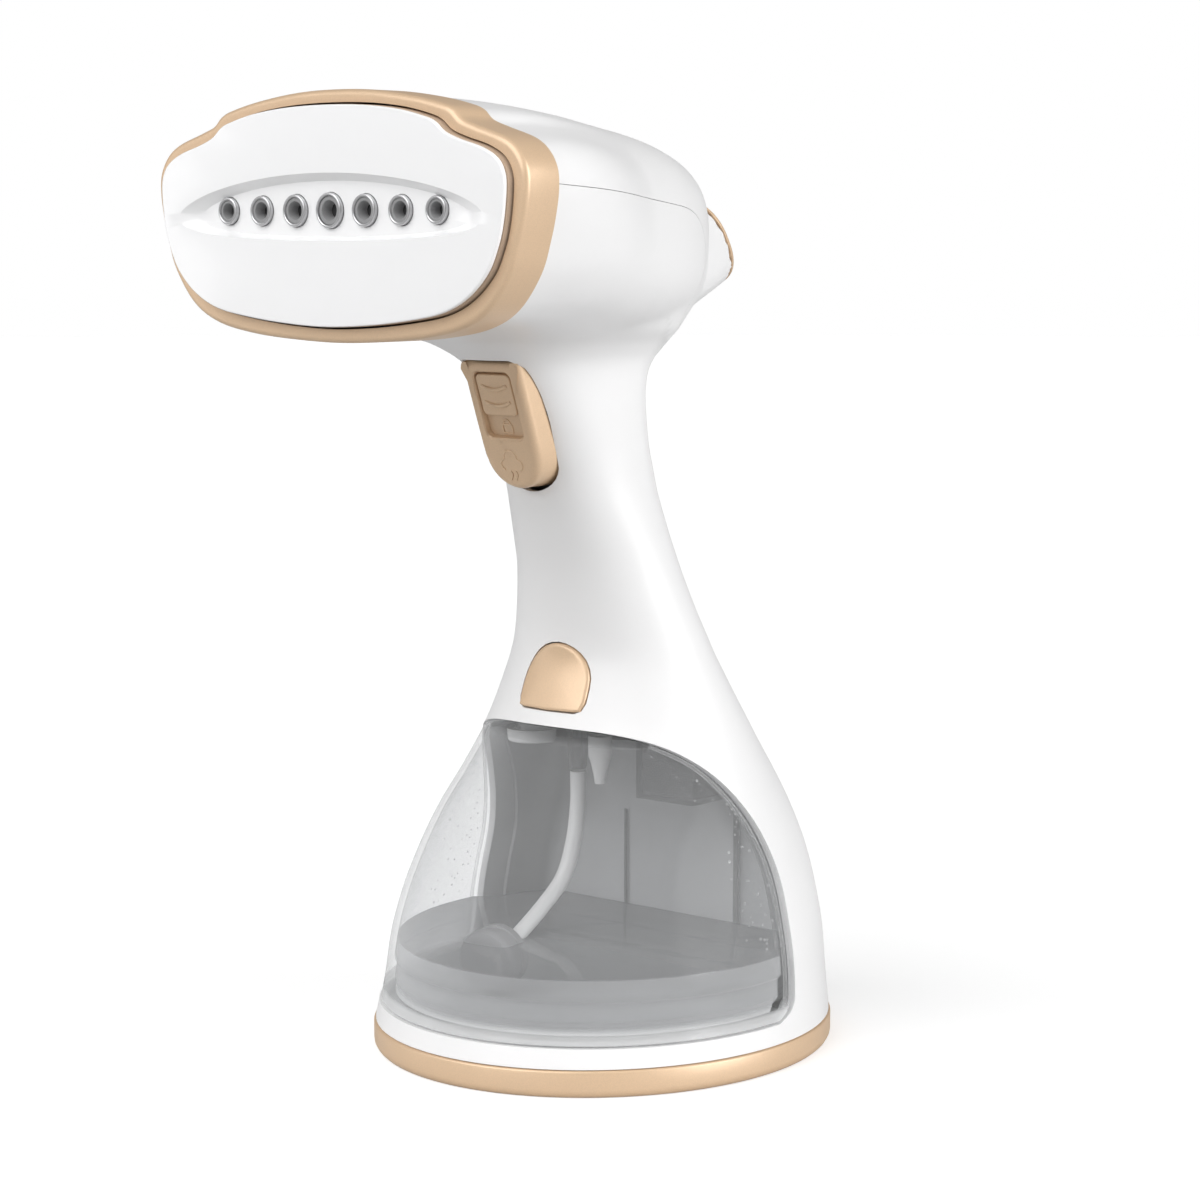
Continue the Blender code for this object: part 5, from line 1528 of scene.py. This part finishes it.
def make_bay_liner():
    """The smooth inner wall that is seen through the tank."""
    rings = []
    for z in levels(14.5, 85, 3.0):
        outer = rear_rows(z, 3.0, 1.2, lead=LINER_LEAD)
        inner = rear_rows(z, 4.1, 2.2, lead=LINER_LEAD)
        ring = outer + [(-x, y) for x, y in outer[::-1]] + [(-x, y) for x, y in inner] + inner[::-1]
        rings.append([(x, y, z) for x, y in ring])
    liner = skin("bay_liner", rings, LINER, smooth=50)
    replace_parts(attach(liner, "housing"), "tank_bay_wall")


# ---- rear controls ---------------------------------------------------------------------------------
def on_hump(points):
    """(across, up, outward) points on the hump's leaning rear face."""
    p = np.asarray(points, float)
    return HUMP_FACE + np.outer(-p[:, 0], (1, 0, 0)) + np.outer(p[:, 1], UPRIGHT) + np.outer(p[:, 2], LEAN)


def make_rear_controls():
    """The disc with the power key on the hump, its gold trim, and the cord's gland."""
    gold = FINISHES["gold_plastic"]
    panel = [(6.4, -3.5), (6.4, -0.5), (6.7, -0.15), (9.0, 0.05), (11.6, 0.0), (12.0, -0.3), (12.15, -0.8),
             (12.15, -3.5)]
    disc = turned("rear_disc", panel, HUMP_FACE, LEAN, gold, 96)
    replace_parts(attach(disc, "housing"), "rear_panel")
    key = [(0.01, -2.5), (5.9, -2.5), (6.0, 0.0), (5.85, 0.3), (5.5, 0.45), (4.4, 0.35), (2.0, 0.2),
           (0.01, 0.18)]
    key = turned("power_key", key[::-1], HUMP_FACE, LEAN, FINISHES["white_plastic"], 72)
    mark = [(2.0 * math.sin(a), 2.0 * math.cos(a), 0.24) for a in np.radians(np.linspace(35, 325, 28))]
    mark = tube("power_ring", on_hump(mark), 0.16, GREY_SLEEVE, 8)
    bar = tube("power_bar", on_hump([(0, 0.7, 0.24), (0, 2.5, 0.24)]), 0.16, GREY_SLEEVE, 8)
    key = joined("power_key", key, mark, bar)
    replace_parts(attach(key, "power"), "power_button")
    _, _, half, tall = HUMP[-1]
    count = 120
    angles = np.arange(count) * 2 * math.pi / count
    c, s = np.cos(angles), np.sin(angles)
    u, v = np.sign(c) * np.abs(c) ** 0.8, np.sign(s) * np.abs(s) ** 0.8
    rings = []
    for shift, height in ((-1.6, 0.25), (0.0, 0.25), (0.0, 0.9), (-0.2, 1.25), (-0.55, 1.45), (-1.2, 1.45),
                          (-1.6, 1.2)):
        rim = np.column_stack([(half + shift) * u, (tall + shift) * v, np.full(count, height)])
        rings.append(on_hump(rim))
    trim = skin("hump_trim", rings, gold, loop=True, smooth=50)
    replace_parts(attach(trim, "housing"), "rear_trim")
    low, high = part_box("cord_gland")
    middle = (0, high.y / MM, (low.z + high.z) / 2 / MM)
    rows = [(3.4, 0.0), (6.6, 0.0), (7.1, 0.4), (7.2, 0.9), (7.0, 1.6), (4.9, 1.9)]
    for k in range(4):
        rows += [(4.9, 2.6 + 2 * k), (4.3, 2.9 + 2 * k), (4.3, 3.7 + 2 * k), (4.9, 4.0 + 2 * k)]
    rows += [(4.9, 11.9), (3.4, 11.9)]
    gland = turned("ribbed_gland", rows, middle, (0, -1, 0), FINISHES["black_plastic"], 64)
    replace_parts(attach(gland, "housing"), "cord_gland")


# ---- studio --------------------------------------------------------------------------------------------
def sun(name, aim, strength, spread):
    """A far light; spread is its width in degrees, which softens its shadows."""
    light = bpy.data.lights.new(name, "SUN")
    light.energy, light.angle = strength, math.radians(spread)
    obj = bpy.data.objects.new(name, light)
    obj.rotation_euler = Vector(aim).to_track_quat("-Z", "Y").to_euler()
    bpy.context.scene.collection.objects.link(obj)


def softbox(name, place, size, power):
    """A rectangular light in metres and watts, aimed at the object's middle."""
    light = bpy.data.lights.new(name, "AREA")
    light.shape, light.size, light.size_y, light.energy = "RECTANGLE", size[0], size[1], power
    obj = bpy.data.objects.new(name, light)
    obj.location = place
    obj.rotation_euler = (Vector((0, 0, 0.14)) - Vector(place)).to_track_quat("-Z", "Y").to_euler()
    bpy.context.scene.collection.objects.link(obj)


FLOOR_RADIUS = 6000


def make_studio():
    """A pale floor, a pale world, two soft suns and two soft boxes."""
    f = Finish("pale_floor", 0.7)
    patch = f.noise(400.0, 2)
    seen = f.node("ShaderNodeLightPath", out="Is Camera Ray")
    f.done(Base_Color=f.mixed(patch, (0.54, 0.54, 0.54), (0.56, 0.56, 0.56)), Roughness=0.68 + patch * 0.06,
           Emission_Color=f.mixed(seen, (0.0, 0.0, 0.0), (0.6, 0.6, 0.6)), Emission_Strength=1.0)
    corners = [2 * math.pi * k / 64 for k in range(64)]
    rim = [(FLOOR_RADIUS * math.cos(a), FLOOR_RADIUS * math.sin(a), -0.05) for a in corners]
    floor = mesh_object("floor", rim, [list(range(64))], f.material)
    world = bpy.data.worlds.new("studio")
    bpy.context.scene.world = world
    world.use_nodes = True
    tree = world.node_tree
    back, eye = tree.nodes["Background"], tree.nodes.new("ShaderNodeLightPath")
    bright = tree.nodes.new("ShaderNodeMix")
    bright.inputs[2].default_value, bright.inputs[3].default_value = 0.17, 1.0
    tree.links.new(eye.outputs["Is Camera Ray"], bright.inputs[0])
    back.inputs["Color"].default_value = (1, 1, 1, 1)
    tree.links.new(bright.outputs[0], back.inputs["Strength"])
    sun("key_from_the_right", (-0.93, -0.27, -0.27), 2.3, 40)
    sun("fill_from_the_front", (0.12, 0.76, -0.64), 2.5, 60)
    softbox("strip_left", (-0.75, -0.55, 0.35), (0.18, 0.9), 0.8)
    softbox("strip_right", (0.9, -0.1, 0.45), (0.5, 0.8), 0.8)
    bpy.context.scene.view_settings.view_transform = "Standard"


CAMERA_PLACE, CAMERA_AIM = (0.5545, -0.6578, 0.2341), (-0.64065, 0.75810, -0.12187)      # metres


def make_camera():
    """A 90 mm lens in front of the object, on its +X side, that looks down by 7 degrees."""
    camera = bpy.data.cameras.new("camera")
    camera.lens, camera.sensor_width, camera.sensor_height = 90.0, 36.0, 36.0
    obj = bpy.data.objects.new("camera", camera)
    obj.location = CAMERA_PLACE
    obj.rotation_euler = Vector(CAMERA_AIM).to_track_quat("-Z", "Y").to_euler()
    bpy.context.scene.collection.objects.link(obj)
    bpy.context.scene.camera = obj


# ---- the whole object ----------------------------------------------------------------------------------
make_camera()
dress_frame()
make_tank_fittings()
make_casing()
make_bezel()
make_sole_panel()
make_nozzles()
make_trigger()
make_release_button()
make_base()
make_tank()
make_bay_liner()
make_rear_controls()
make_studio()
